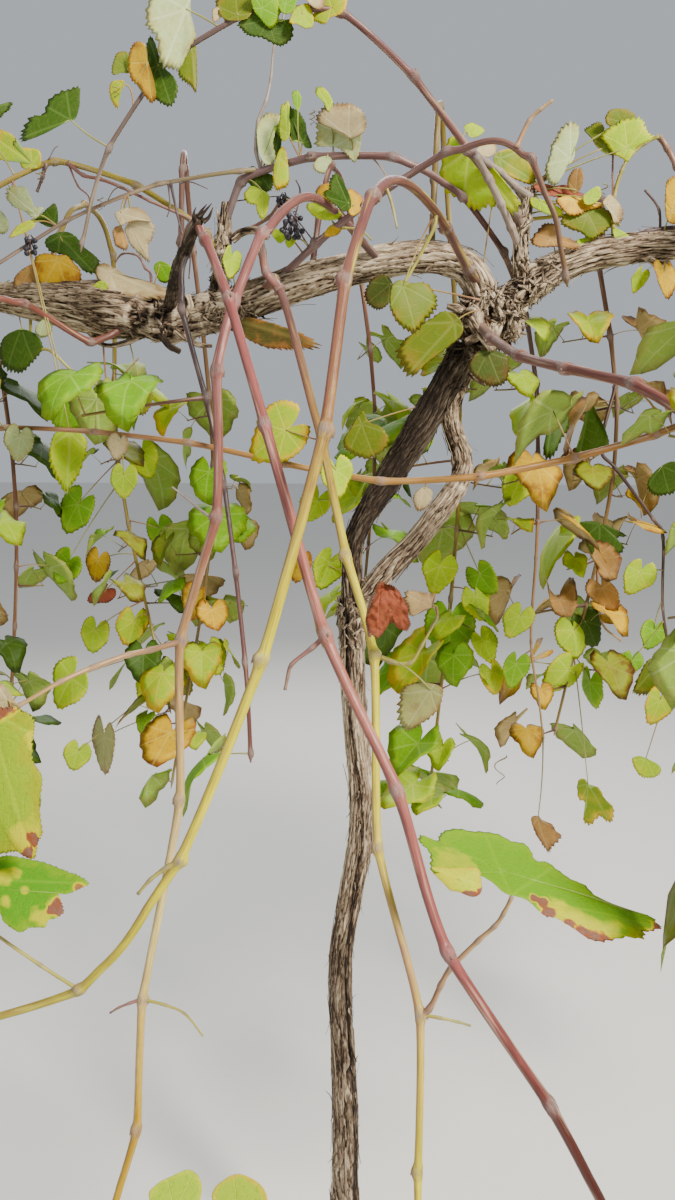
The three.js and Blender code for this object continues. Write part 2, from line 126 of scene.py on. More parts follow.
# The smooth line through points: a uniform Catmull-Rom curve, read by its share of the length.
class Route:
    marks = np.linspace(0, 1, 201)

    def __init__(self, way):
        p = np.array(way, float)
        self.knots = np.vstack([2 * p[0] - p[1], p, 2 * p[-1] - p[-2]])
        run = np.linalg.norm(np.diff(self.at(self.marks), axis=0), axis=1)
        self.reach = np.concatenate([[0], np.cumsum(run)])
        self.length = self.reach[-1]

    def at(self, t):  # by the curve's own parameter
        place = np.clip(t, 0, 1) * (len(self.knots) - 3)
        i = np.minimum(place.astype(int), len(self.knots) - 4)
        w = (place - i)[..., None]
        p0, p1, p2, p3 = (self.knots[i + k] for k in range(4))
        v1, v2 = (p2 - p0) / 2, (p3 - p1) / 2
        return ((2 * p1 - 2 * p2 + v1 + v2) * w + (3 * p2 - 3 * p1 - 2 * v1 - v2)) * w * w + v1 * w + p1

    def parameter(self, share):
        return np.interp(np.asarray(share, float) * self.length, self.reach, self.marks)

    def point(self, share):
        return self.at(self.parameter(share))

    def ahead(self, share):
        t = self.parameter(share)
        return unit(self.at(np.minimum(t + 1e-4, 1)) - self.at(np.maximum(t - 1e-4, 0)))

    def nearestShare(self, place, look=lambda points: points):  # where the line, as look sees it, is nearest
        shares = np.linspace(0, 1, 801)
        return shares[np.linalg.norm(look(self.point(shares)) - place, axis=1).argmin()]

    def shareAtPixel(self, pixel):
        return self.nearestShare(pixel, seen)


def spread(values, share):  # the value at a share of a list of evenly spaced ones
    return np.interp(share, np.linspace(0, 1, len(values)), values)


def between(share, places, points):  # the points (places, 3) of a line, read at shares between the places
    return np.stack([np.interp(share, places, points[:, k]) for k in range(3)], -1)


# A frame of directions along lines of points (lines, steps, 3) that doesn't twist round them.
def carry(centres, level=False):
    ahead = unit(np.gradient(centres, axis=1))
    if level:
        ahead = np.broadcast_to(up, centres.shape)
    side = np.where(np.abs(ahead[:, :1, 0:1]) > 0.9, up, [1.0, 0, 0])[:, 0]
    across = np.empty(centres.shape)
    for step in range(centres.shape[1]):  # all lines at once, since each step needs the one before
        here = ahead[:, step]
        side = unit(side - (side * here).sum(-1, keepdims=True) * here)
        across[:, step] = side
    return ahead, across, np.cross(ahead, across)


# Gathers surfaces as whole arrays and makes one mesh of them.
class Gather:
    def __init__(self):
        self.points, self.quads, self.tris, self.slots, self.values, self.count = [], [], [], [], {}, 0

    def add(self, points, quads, tris, quadSlots=0, triSlots=0, **values):
        shape = points.shape[:-1]
        number = int(np.prod(shape))
        self.points.append(points.reshape(-1, 3))
        self.quads.append(quads.reshape(-1, 4) + self.count)
        self.tris.append(tris.reshape(-1, 3) + self.count)
        quadSlots = np.broadcast_to(quadSlots, quads.shape[:-1]).ravel()
        self.slots.append((quadSlots, np.broadcast_to(triSlots, tris.shape[:-1]).ravel()))
        for name, value in values.items():
            value = np.asarray(value, float)
            value = value if value.ndim else np.full(shape, value)
            self.values.setdefault(name, []).append(value.reshape(number, -1))
        self.count += number

    def build(self, name, finishes, slot, nodes):
        quads, tris = np.concatenate(self.quads), np.concatenate(self.tris)
        mesh = bpy.data.meshes.new(name)
        mesh.vertices.add(self.count)
        mesh.vertices.foreach_set("co", (np.concatenate(self.points) * mm).ravel())
        mesh.loops.add(quads.size + tris.size)
        mesh.loops.foreach_set("vertex_index", np.concatenate([quads.ravel(), tris.ravel()]))
        mesh.polygons.add(len(quads) + len(tris))
        starts = [4 * np.arange(len(quads)), quads.size + 3 * np.arange(len(tris))]
        mesh.polygons.foreach_set("loop_start", np.concatenate(starts))
        slots = [pair[k] for k in (0, 1) for pair in self.slots]
        mesh.polygons.foreach_set("material_index", np.concatenate(slots).astype(np.int32))
        mesh.polygons.foreach_set("use_smooth", np.ones(len(quads) + len(tris), bool))
        mesh.update(calc_edges=True)
        for key, parts in self.values.items():
            value = np.concatenate(parts)
            kind, field = ("FLOAT", "value") if value.shape[1] == 1 else ("FLOAT_VECTOR", "vector")
            mesh.attributes.new(key, kind, "POINT").data.foreach_set(field, value.astype(np.float32).ravel())
        for finish in finishes:
            mesh.materials.append(finish)
        piece = bpy.data.objects.new(name, mesh)
        bpy.context.scene.collection.objects.link(piece)
        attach(piece, "root")
        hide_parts(*nodes)
        print(f"{name}: {2 * len(quads) + len(tris)} triangles")


# Faces between closed rings of points (rings, sides), and the fans that close both ends: the two end
# points come after the rings.
def ringFaces(rings, sides):
    i, j = np.meshgrid(np.arange(rings - 1) * sides, np.arange(sides), indexing="ij")
    after = (j + 1) % sides
    return np.stack([i + j, i + after, i + sides + after, i + sides + j], -1).reshape(-1, 4)


def endFaces(rings, sides):
    j = np.arange(sides)
    after, last, tip = (j + 1) % sides, (rings - 1) * sides, rings * sides
    return np.concatenate([np.stack([0 * j + tip, after, j], -1),
                           np.stack([0 * j + tip + 1, last + j, last + after], -1)])


def ball(across, down):  # a ball of radius 1: points (down, across, 3), its faces, and its two angles
    angle = 2 * np.pi * np.arange(across) / across
    tilt = np.pi * (np.arange(down) + 0.5) / down
    points = np.stack([np.sin(tilt)[:, None] * np.cos(angle), np.sin(tilt)[:, None] * np.sin(angle),
                       np.cos(tilt)[:, None] + 0 * angle], -1)
    return points, ringFaces(down, across)[:, [0, 3, 2, 1]], endFaces(down, across)[:, [0, 2, 1]], angle, tilt


# Tubes along lines of points (tubes, steps, 3). A ring's point is the middle + its radius times (cos a, sin a) in
# the line's frame. Both ends are closed by a fan. grain is the straightened tube, and flank runs from -1 on its
# left side to 1 on its right side, as the camera sees it; caneFinish paints shade and a faint highlight by it.
def tubes(into, centres, radii, sides, slot=0, level=False, offset=0.0, **values):
    number, steps = centres.shape[:2]
    _, across, other = carry(centres, level)
    angle = 2 * np.pi * np.arange(sides) / sides
    radii = np.asarray(radii, float)
    radii = np.broadcast_to(radii[..., None] if radii.ndim == 2 else radii, (number, steps, sides))
    ring = across[:, :, None] * np.cos(angle)[:, None] + other[:, :, None] * np.sin(angle)[:, None]
    shell = centres[:, :, None] + ring * radii[..., None]
    run = np.linalg.norm(np.diff(centres, axis=1), axis=-1)
    reach = np.concatenate([np.zeros((number, 1)), np.cumsum(run, axis=1)], axis=1)
    middle = radii.mean(axis=2)
    grain = np.stack([middle[..., None] * np.cos(angle), middle[..., None] * np.sin(angle),
                      np.broadcast_to(reach[..., None], radii.shape)], -1) * mm
    grain += np.asarray(offset, float).reshape(-1, 1, 1, 1)

    def closed(value):  # values on the rings, with those of the two end points after them
        value = np.asarray(value, float)
        if value.ndim == 0:
            return np.full((number, steps * sides + 2), value)
        if value.ndim == 2:
            value = np.broadcast_to(value[..., None], (number, steps, sides))
        ends = value[:, [0, -1]].mean(axis=2)
        return np.concatenate([value.reshape(number, steps * sides, *value.shape[3:]), ends], axis=1)

    shift = (steps * sides + 2) * np.arange(number)[:, None, None]
    points = np.concatenate([shell.reshape(number, -1, 3), centres[:, [0, -1]]], axis=1)
    slots = np.broadcast_to(np.asarray(slot).reshape(-1, 1), (number, 1))
    into.add(points, ringFaces(steps, sides) + shift, endFaces(steps, sides) + shift, slots, slots,
             grain=closed(grain), flank=closed(ring @ rightward),
             **{name: closed(value) for name, value in values.items()})


# Shader maths. A Wire is a socket or a number, and sums and products of wires add Math nodes.
class Wire:
    def __init__(self, finish, socket):
        self.finish, self.socket = finish, socket

    def math(self, operation, *others, **settings):
        inputs = {i: value for i, value in enumerate((self, *others))}
        return self.finish.node("ShaderNodeMath", dict(operation=operation, **settings), inputs)

    def __add__(self, other):
        return self.math("ADD", other)

    def __sub__(self, other):
        return self.math("SUBTRACT", other)

    def __rsub__(self, other):
        return (self * -1).math("ADD", other)

    def __mul__(self, other):
        return self.math("MULTIPLY", other)

    __radd__, __rmul__ = __add__, __mul__

    def __abs__(self):
        return self.math("ABSOLUTE")

    def least(self, other):
        return self.math("MINIMUM", other)

    def most(self, other):
        return self.math("MAXIMUM", other)

    def clipped(self):
        return self.math("ADD", 0, use_clamp=True)

    def fraction(self):
        return self.math("FRACT")


def shade(text):  # a colour written as on the web, in the linear numbers that a shader uses
    level = np.array([int(text[i:i + 2], 16) for i in (0, 2, 4)]) / 255
    return tuple(np.where(level <= 0.04045, level / 12.92, ((level + 0.055) / 1.055) ** 2.4)) + (1.0,)


class Finish:  # a material, with the tree that its nodes go into
    def __init__(self, name, **fixed):
        self.material = bpy.data.materials.new(name)
        self.material.use_nodes = True
        self.tree = self.material.node_tree
        self.shader = self.tree.nodes["Principled BSDF"]
        for socket, value in fixed.items():
            self.shader.inputs[socket.replace("_", " ")].default_value = value

    def node(self, kind, settings=None, inputs=None, output=0):
        made = self.tree.nodes.new(kind)
        for key, value in (settings or {}).items():
            if key == "stops":
                ramp = made.color_ramp
                while len(ramp.elements) < len(value):
                    ramp.elements.new(0.5)
                for element, (place, colour) in zip(ramp.elements, value):
                    element.position, element.color = place, colour
            else:
                setattr(made, key, value)
        for key, value in (inputs or {}).items():
            if isinstance(value, Wire):
                self.tree.links.new(value.socket, made.inputs[key])
            else:
                made.inputs[key].default_value = value
        return Wire(self, made.outputs[output])

    def attribute(self, name, output="Fac"):
        return self.node("ShaderNodeAttribute", dict(attribute_name=name), output=output)

    def noise(self, place, scale, detail=3, roughness=0.55):
        settings = dict(noise_dimensions="3D")
        inputs = {"Vector": place, "Scale": scale, "Detail": detail, "Roughness": roughness}
        return self.node("ShaderNodeTexNoise", settings, inputs)

    def stretched(self, place, x, y, z):
        return self.node("ShaderNodeMapping", {}, {"Vector": place, "Scale": (x, y, z)})

    def mix(self, share, low, high, kind="MIX"):
        settings = dict(data_type="RGBA", blend_type=kind, clamp_factor=True)
        return self.node("ShaderNodeMix", settings, {0: share, 6: low, 7: high}, output=2)

    def ramp(self, share, stops):
        return self.node("ShaderNodeValToRGB", dict(stops=stops), {0: share})

    def bump(self, height, strength, distance):
        inputs = {"Height": height, "Strength": strength, "Distance": distance}
        return self.node("ShaderNodeBump", {}, inputs)

    def done(self, **sockets):
        for name, wire in sockets.items():
            self.tree.links.new(wire.socket, self.shader.inputs[name.replace("_", " ")])
        return self.material


# Old bark: dark in the creases, partly the colour of the fissures and partly painted crevice shade, since the
# colour follows the relief; grey-brown on the strips and pale where the fibres are worn. tone is 0 on most wood,
# rises to 1 where the wood is bleached and where sunlight is painted, and falls to -1 where shade is painted. The
# level that the ramp reads is relief * 0.5 + fibres + streaks + patches + tone * 0.17, less thin cracks where the
# streaks cross their middle value.
def makeBarkFinish():
    finish = Finish("bark", Roughness=0.92, Specular_IOR_Level=0.25)
    grain, tone = finish.attribute("grain", "Vector"), finish.attribute("tone")
    fibres = finish.noise(finish.stretched(grain, 1, 1, 0.09), 620, 5, 0.7)
    streaks = finish.noise(finish.stretched(grain, 1, 1, 0.14), 210, 4, 0.65)
    patches = finish.noise(finish.stretched(grain, 1, 1, 0.5), 34, 3)
    cracks = (0.09 - abs(streaks - 0.5)).clipped() * -5
    level = (finish.attribute("relief") * 0.5 + fibres * 1.1 + streaks * 0.8 + patches * 0.6 + cracks
             + tone * 0.17 - 0.6)
    stops = [(0.02, shade("1c1510")), (0.26, shade("4c3a2c")), (0.5, shade("86725c")), (0.74, shade("a8957c")),
             (1.0, shade("cdbca0"))]
    colour = finish.ramp(level, stops)
    # painted shade: where tone is below 0 the colour goes towards a dark brown
    colour = finish.mix((tone * -0.8).clipped(), colour, shade("251c15"))
    rough = finish.bump(fibres * 0.6 + streaks * 0.4 + cracks * 0.5, 0.9, 0.0015)
    return finish.done(Base_Color=colour, Normal=rough)


# A cane: its colour runs through stops from foot to tip, with painted shade on its left flank, the side away from
# the key lamp, grey flaky skin at the joints, fine lengthwise lines, and here and there a pale streak where the
# skin is weathered; the same pale colour is painted faintly along the right flank as a highlight.
def caneFinish(name, stops, blush="6a4440", pale="d8b89c", gloss=0.36):
    finish = Finish(name, Roughness=gloss, Specular_IOR_Level=0.3)
    grain = finish.attribute("grain", "Vector")
    lines = finish.noise(finish.stretched(grain, 1, 1, 0.03), 900, 3, 0.6)
    streaks = finish.noise(finish.stretched(grain, 1, 1, 0.05), 260, 2, 0.5)
    blotches = finish.noise(finish.stretched(grain, 1, 1, 0.35), 90, 4, 0.65)
    share = finish.attribute("along") + (blotches - 0.5) * 0.16
    places = np.linspace(0, 1, len(stops))
    colour = finish.ramp(share, [(float(at), shade(text)) for at, text in zip(places, stops)])
    flank = finish.attribute("flank")
    # painted shade: the left flank, away from the light, is mixed towards a dark mauve
    colour = finish.mix((flank * -0.75 + blotches * 1.1 - 0.5).clipped() * 0.8, colour, shade(blush))
    colour = finish.mix((lines - 0.4) * 1.6, colour, shade("7a5f50"), "MULTIPLY")
    # pale streaks of weathered skin, with a faint painted highlight along the right flank
    colour = finish.mix((streaks - 0.56) * 2.4 + (flank - 0.7).clipped() * 0.3, colour, shade(pale))
    joint = finish.attribute("joint")
    colour = finish.mix((joint * (blotches * 2.4 - 0.5)).clipped() * 0.8, colour, shade("8c7a72"))
    colour = finish.mix((joint * (lines * 6 - 3.3)).clipped() * 0.6, colour, shade("4c342c"))
    rough = finish.bump(lines + joint * (blotches + lines) * 2, 0.5, 0.0009)
    dry = joint * 0.35 + blotches * 0.25 + (gloss - 0.12)
    return finish.done(Base_Color=colour, Roughness=dry, Normal=rough)


veinAngles = (48, 100)


# Veins of a blade, as a mask, and the share of the way to the edge. blade holds where a point lies from
# the foot: x across, y towards the tip, and z its share of the way to the edge. Main veins leave the foot
# at three angles: with n the distance from the nearest, they are 1 - narrow n. Side veins lie where the
# fraction of rows z - slant n is a half.
def veinsOf(finish, narrow, rows, slant, thin, strength):
    blade = finish.attribute("blade", "Vector")
    x, y, out = (finish.node("ShaderNodeSeparateXYZ", {}, {0: blade}, output=k) for k in range(3))
    x = abs(x)
    near = x
    for turn in np.radians(veinAngles):
        near = near.least(abs(x * float(np.cos(turn)) - y * float(np.sin(turn))))
    side = (1 - abs((out * rows - near * slant + 8).fraction() - 0.5) * thin).clipped() * strength
    return (1 - near * narrow).clipped().most(side), out


# A side of a leaf: one plain colour in the middle and one at the rim, where out - 0.72 + 0.9 (cloud - 0.5)
# is above 0, with specks and the veins on top.
def bladeFinish(name, middle, rim, veins, gloss=0.55, spots=0.0):
    finish = Finish(name, Roughness=gloss, Specular_IOR_Level=0.18)
    vein, out = veinsOf(finish, 32, 6, 5, 11, 0.55)
    place = finish.node("ShaderNodeTexCoord", {}, {}, output="Object")
    cloud, specks = finish.noise(place, 48, 3), finish.noise(place, 210, 2)
    worn = ((out - 0.72 + (cloud - 0.5) * 0.9) * 3).clipped()
    colour = finish.mix(worn, shade(middle), shade(rim))
    colour = finish.mix(((cloud - 0.42) * 2).clipped() * 0.45, colour, shade(rim))
    if spots:
        colour = finish.mix(((cloud - 0.56) * 5).clipped() * spots, colour, shade(rim))
    colour = finish.mix((specks - 0.5) * 0.9, colour, shade("6b6a2c"))
    colour = finish.mix(vein * 0.55, colour, shade(veins))
    rough = finish.bump(specks * 0.5 - vein * 0.6, 0.5, 0.0009)
    return finish.done(Base_Color=colour, Normal=rough)


def plainFinish(name, text, gloss=0.6, depth=0.0006, scale=300):
    finish = Finish(name, Roughness=gloss)
    place = finish.node("ShaderNodeTexCoord", {}, {}, output="Object")
    cloud = finish.noise(place, scale, 3)
    colour = finish.mix(cloud, shade(text), tuple(0.55 * c for c in shade(text)[:3]) + (1.0,))
    return finish.done(Base_Color=colour, Normal=finish.bump(cloud, 0.4, depth))


# The plan of the plant, the same as in the model's source. way is the line of a limb.
rule = dict(
    gap=0.35, headCentre=(188, 2, 1580), headSize=(46, 40, 36), flareHeight=130, flareSize=0.6,
    jointSpacing=105, leafLength=82, leafSpread=0.3, stalkLength=0.75, stalkRadius=1.7, lowestLeaf=60,
    shootShare=0.4, mostShoots=2, shootRadius=2.4, shootLength=90, shootSpread=70, stemStep=80,
)
oldWood = {
    "trunk": dict(
        way=[(0, 0, 0), (0, 0, 120), (-2, -2, 400), (-8, -4, 640), (22, 0, 860), (12, 2, 1030), (6, 0, 1205)],
        radii=[23, 22, 20, 17, 17, 16, 19], lumps=0.09),
    "stem_left": dict(
        way=[(6, 0, 1190), (10, 0, 1285), (52, 3, 1362), (105, 0, 1448), (160, 0, 1545)],
        radii=[14, 14, 18, 19, 20], lumps=0.1),
    "stem_right": dict(
        way=[(12, 4, 1192), (60, 4, 1246), (110, 16, 1302), (158, 44, 1380), (140, 66, 1462),
             (172, 40, 1552)],
        radii=[15, 16, 15, 14, 13, 14], lumps=0.07),
    "arm_left_arch": dict(
        way=[(180, 0, 1592), (174, -2, 1622), (146, -4, 1652), (70, -8, 1658), (-65, -4, 1630),
             (-170, 0, 1598)],
        radii=[22, 20, 19, 20, 25, 24], lumps=0.09),
    "arm_left_end": dict(
        way=[(-160, 0, 1600), (-240, 0, 1588), (-310, 0, 1600), (-480, 0, 1620), (-760, 4, 1632),
             (-1010, -6, 1610)],
        radii=[24, 38, 16, 13, 14, 9], lumps=0.12),
    "arm_right": dict(
        way=[(205, -3, 1592), (236, 0, 1618), (275, 0, 1642), (345, 0, 1662), (520, 4, 1670),
             (820, -4, 1650), (1150, 4, 1625)],
        radii=[20, 18, 16, 15, 15, 14, 9], lumps=0.1),
    "spur_left": dict(
        way=[(-176, 0, 1600), (-170, -12, 1650), (-158, -22, 1732)], radii=[13, 10, 6], lumps=0.12),
    "spur_right": dict(
        way=[(232, 0, 1616), (226, -10, 1668), (236, -16, 1738)], radii=[11, 9, 6], lumps=0.12),
}
# joints are pixels of the photograph where a cane has a joint, and tones its colours from foot to tip.
canes = {
    "red_front": dict(
        bare=0.16, thick=5.6, thin=3.8, leafy=0, seed=11,
        way=[(-240, 0, 1604), (-190, -115, 1648), (-130, -222, 1660), (-35, -395, 1465), (40, -530, 1260),
             (105, -575, 1145), (145, -600, 1025), (265, -620, 850), (335, -640, 690)],
        joints=[(205, 238), (229, 300), (265, 425), (325, 635), (397, 790), (447, 952), (550, 1105)],
        tones=["3c2a26", "7a423c", "8c4c48", "985850", "a66656", "94504c", "441a10", "3c160e"]),
    "red_left": dict(
        bare=0.2, thick=5.6, thin=3.2, leafy=0.1, seed=12,
        way=[(50, -6, 1655), (-35, -140, 1708), (-95, -288, 1560), (-103, -325, 1400), (-138, -355, 1200),
             (-136, -385, 1040), (-160, -450, 845), (-172, -508, 690), (-215, -545, 560)],
        shoots=[dict(to=(-264, -461, 1165), leaves=[
            ((-300, -475, 1150), (-322, -505, 1030), (0.3, -0.9, 0.2)),
            ((-258, -490, 1045), (-160, -515, 1000), (-0.1, -0.3, 0.95))])],
        joints=[(262, 232), (234, 302), (216, 371), (218, 517), (180, 640), (180, 800), (142, 1000),
                (137, 1130)],
        tones=["5c4844", "7c4e48", "985e58", "8e5648", "c09c60", "dcc878", "b08a00", "b49c10"]),
    "green_middle": dict(
        bare=0.14, thick=5.4, thin=3.0, leafy=0.12, seed=13,
        way=[(-115, -4, 1625), (-65, -135, 1575), (28, -300, 1325), (72, -365, 1205), (80, -440, 1035),
             (125, -505, 905), (127, -560, 740), (132, -590, 600)],
        shoots=[dict(to=(127, -364, 1247), leaves=[((96, -385, 1284), (84, -400, 1225), (0.2, -0.9, 0.3))]),
                dict(to=(150, -508, 950), leaves=[((200, -510, 1019), (282, -368, 1036), (0.05, -0.1, 1))])],
        joints=[(276, 275), (322, 440), (346, 555), (374, 655), (378, 848), (420, 1015), (418, 1172)],
        look=dict(blush="8a5650", pale="d8cc50"),
        tones=["6c544c", "76524a", "947434", "d4c800", "d4c800", "b08858", "e0d400", "84501c"]),
    "yellow_long": dict(
        bare=0.22, thick=5.6, thin=3.4, leafy=0, seed=14,
        way=[(185, 0, 1610), (130, -120, 1695), (66, -330, 1660), (33, -484, 1424), (-15, -524, 1235),
             (-92, -524, 1050), (-195, -508, 905), (-420, -485, 810)],
        joints=[(468, 270), (438, 232), (372, 195), (345, 280), (325, 430), (262, 660), (180, 860), (80, 990)],
        look=dict(blush="8a5650", pale="d8cc50"),
        tones=["5c443c", "70483c", "704440", "8a5c38", "d0c400", "dcd000", "a89e00", "b0a000"]),
    "cross_arch": dict(
        bare=0.5, thick=4.8, thin=2.6, leafy=0.6, seed=15,
        way=[(-95, -5, 1635), (30, -112, 1698), (180, -190, 1746), (250, -182, 1675), (268, -170, 1590)],
        tones=["80686c", "7c605c", "745248", "705634"]),
    "left_arch": dict(
        bare=0.3, thick=4.8, thin=2.6, leafy=0.6, seed=16,
        way=[(-163, -18, 1705), (-110, -45, 1765), (85, -85, 1755), (205, 20, 1670), (262, 125, 1520),
             (276, 150, 1290)],
        tones=["84706c", "725450", "5a3c38", "503632", "6a5038"]),
    "sky_arch": dict(
        bare=0.3, thick=4.8, thin=1.9, leafy=0.95, seed=17,
        way=[(229, -12, 1690), (170, -72, 1752), (15, -180, 1882), (-145, -215, 1848), (-250, -225, 1725),
             (-280, -222, 1630)],
        tones=["7c6a5e", "7a524a", "6e4844", "624e4a", "60524a", "7c6c56"]),
    "right_red": dict(
        bare=0.45, thick=6.2, thin=3.6, leafy=0.5, seed=18,
        way=[(172, -6, 1575), (215, -215, 1510), (330, -445, 1446), (390, -515, 1320), (405, -555, 1060)],
        tones=["8c7668", "744a3e", "763c32", "6c362c", "7c5c2e"]),
    "sagging": dict(
        bare=0.3, thick=5.0, thin=2.4, leafy=0.15, seed=19,
        way=[(700, 0, 1656), (600, -45, 1545), (410, -110, 1436), (105, -195, 1372), (-170, -197, 1418),
             (-405, -190, 1436), (-520, -190, 1400)],
        tones=["7c4c38", "8c5a3a", "9a6a2c", "a47a34", "9c7048", "98704c"]),
    "left_red": dict(
        bare=0.3, thick=4.6, thin=2.8, leafy=0.6, seed=20,
        way=[(-285, 0, 1594), (-340, -50, 1552), (-415, -170, 1596), (-500, -245, 1500), (-530, -275, 1260)],
        tones=["704438", "7c4638", "784034", "8c6c30"]),
    "yellow_left": dict(
        bare=0.35, thick=4.0, thin=2.4, leafy=0.7, seed=21,
        way=[(-168, -14, 1662), (-215, -42, 1720), (-370, -90, 1770), (-500, -140, 1660), (-560, -170, 1480)],
        tones=["807428", "a09030", "94803a", "7e5c4e", "7c5c3a"]),
    "thin_left": dict(
        bare=0, thick=2.8, thin=2.0, leafy=0.9, seed=22,
        way=[(-112, -44, 1764), (-180, -75, 1750), (-300, -110, 1712), (-450, -165, 1610)],
        tones=["8c7c50", "7f6c58", "75605a"]),
    # dark_thin's first dark tones, at its top, are painted shade: it stands in shade there.
    "dark_thin": dict(
        bare=0, thick=3.2, thin=2.2, leafy=0.2, seed=23,
        way=[(-160, -172, 1662), (-172, -205, 1590), (-125, -215, 1400), (-84, -275, 1160), (-76, -295, 1060)],
        tones=["2e2626", "3a2c2c", "74443a"]),
}
frontShoots = [-900, -650, 580, 790, 1000]
backShoots = [-960, -800, -620, -430, -230, -50, 110, 330, 520, 700, 880, 1060]
shootRule = dict(rise=70, riseSpread=190, out=110, outSpread=130, hang=420, hangSpread=480, drift=200,
                 sway=110, thick=4.4, thin=2.2, leafy=0.55, firstSeed=50)
shootTones = [["5a3e34", "684636", "7c6230", "8c7a34"], ["54382f", "684234", "704a34", "786230"],
              ["6c5c2c", "82722c", "90802c", "8e7c2a"]]


# Growth by the source's rule. taken holds the places that wood and leaves already fill, as balls.
class Taken:
    def __init__(self, most=40000):
        self.place, self.radius = np.zeros((most, 3)), np.zeros(most)
        self.owner, self.count = np.zeros(most, int), 0

    def add(self, owner, places, radius):
        there = slice(self.count, self.count + len(places))
        self.place[there], self.radius[there], self.owner[there] = places, radius, owner
        self.count += len(places)

    def isFree(self, owner, places, radius):
        if (places[:, 2] <= rule["lowestLeaf"]).any():
            return False
        others = self.owner[:self.count] != owner
        away = np.linalg.norm(places[:, None] - self.place[None, :self.count][:, others], axis=2)
        return bool((away > self.radius[:self.count][others] + radius + 2 * rule["gap"]).all())


taken = Taken()
ownerNumbers = {}
growth = dict(leaves=[], twigs=[], stems=[])


def numberOf(owner):
    return ownerNumbers.setdefault(owner, len(ownerNumbers) + 1)


def remember(owner, route, start, end, radius):
    count = int(np.ceil(route.length * (end - start) / 12))
    shares = start + (end - start) * np.arange(count + 1) / count
    taken.add(numberOf(owner), route.point(shares), radius(shares))


def swelling(share, angle, size, seed):  # low swellings round old wood, as a factor near 1
    twist = 0.6 * np.sin(2 * angle + 9 * share + seed)
    return 1 + size * (twist + 0.4 * np.sin(3 * angle - 17 * share + 2 * seed))


def flare(share, angle, length):  # the root flare, with five low buttresses
    rest = np.maximum(0, 1 - share * length / rule["flareHeight"]) ** 2
    return 1 + rule["flareSize"] * rest * (0.8 + 0.2 * np.cos(5 * angle + 0.7))


def woodRadius(name, share, angle):
    spec = oldWood[name]
    seed = list(oldWood).index(name) + 1
    radius = spread(spec["radii"], share) * swelling(share, angle, spec["lumps"], seed)
    return radius * flare(share, angle, Route(spec["way"]).length) if name == "trunk" else radius


def bladeSpots(foot, tip, face):
    size = np.linalg.norm(tip - foot)
    lengthwise = unit(tip - foot)
    crosswise = unit(np.cross(lengthwise, face))
    spots = np.array([(0, 0.05), (-0.36, 0), (0.36, 0), (-0.38, 0.36), (0.38, 0.36), (0, 0.4), (0, 0.82)])
    return foot + size * (spots[:, :1] * crosswise + spots[:, 1:] * lengthwise)


def growLeaf(owner, root, foot, tip, face, mood, kind="leaf"):
    size = np.linalg.norm(tip - foot)
    spots = bladeSpots(foot, tip, face)
    stalk = root + np.array([[0.35], [0.7], [1.0]]) * (foot - root)
    number = numberOf(owner)
    room = rule["stalkRadius"]
    if not taken.isFree(number, spots, 0.17 * size) or not taken.isFree(number, stalk, 2 * room):
        return False
    taken.add(numberOf(owner + " blade"), spots, 0.12 * size)
    taken.add(numberOf(owner + " stalk"), stalk[1:], room)
    growth["leaves"].append(dict(owner=owner, root=root, foot=foot, tip=tip, face=face, mood=mood, kind=kind))
    return True


def jointLeaf(owner, root, ahead, heading, seed, scale=1.0, kind="leaf"):
    for turn in range(3):
        mood = seed + 31 * turn
        angle = heading + np.pi * (0.35 * (chance(mood) - 0.5) + 0.3 * turn)
        way = np.array([np.cos(angle), np.sin(angle), 0])
        way = 0.85 * unit(way - (way @ ahead) * ahead)
        way = unit(way + 0.25 * ahead + (0.7 - 0.5 * abs(ahead[2])) * up)
        size = scale * rule["leafLength"] * (1 + 2 * rule["leafSpread"] * (chance(mood + 1) - 0.5))
        foot = root + rule["stalkLength"] * size * way
        droop = unit((0.5 + 0.5 * chance(mood + 2)) * way - 0.9 * up)
        face = unit(np.array([way[0], way[1], 0.45]))
        if growLeaf(owner, root, foot, foot + size * droop, face, mood, kind):
            return True
    return False


def sideShoot(owner, root, ahead, seed):
    heading = 2 * np.pi * chance(seed + 0.25)
    way = unit(np.array([np.cos(heading), np.sin(heading), 0.35]) + 0.5 * ahead)
    end = root + (rule["shootLength"] + rule["shootSpread"] * chance(seed + 0.75)) * way
    spots = root + np.array([[0.3], [0.5], [0.75], [1]]) * (end - root)
    if not taken.isFree(numberOf(owner), spots, 8):
        return
    taken.add(numberOf(owner), spots, 3)
    growth["twigs"].append((owner, root, end, rule["shootRadius"], rule["stalkRadius"], seed))
    jointLeaf(owner, root + 0.97 * (end - root), way, heading, seed + 7)
    jointLeaf(owner, root + 0.5 * (end - root), way, heading + np.pi / 2, seed + 13)


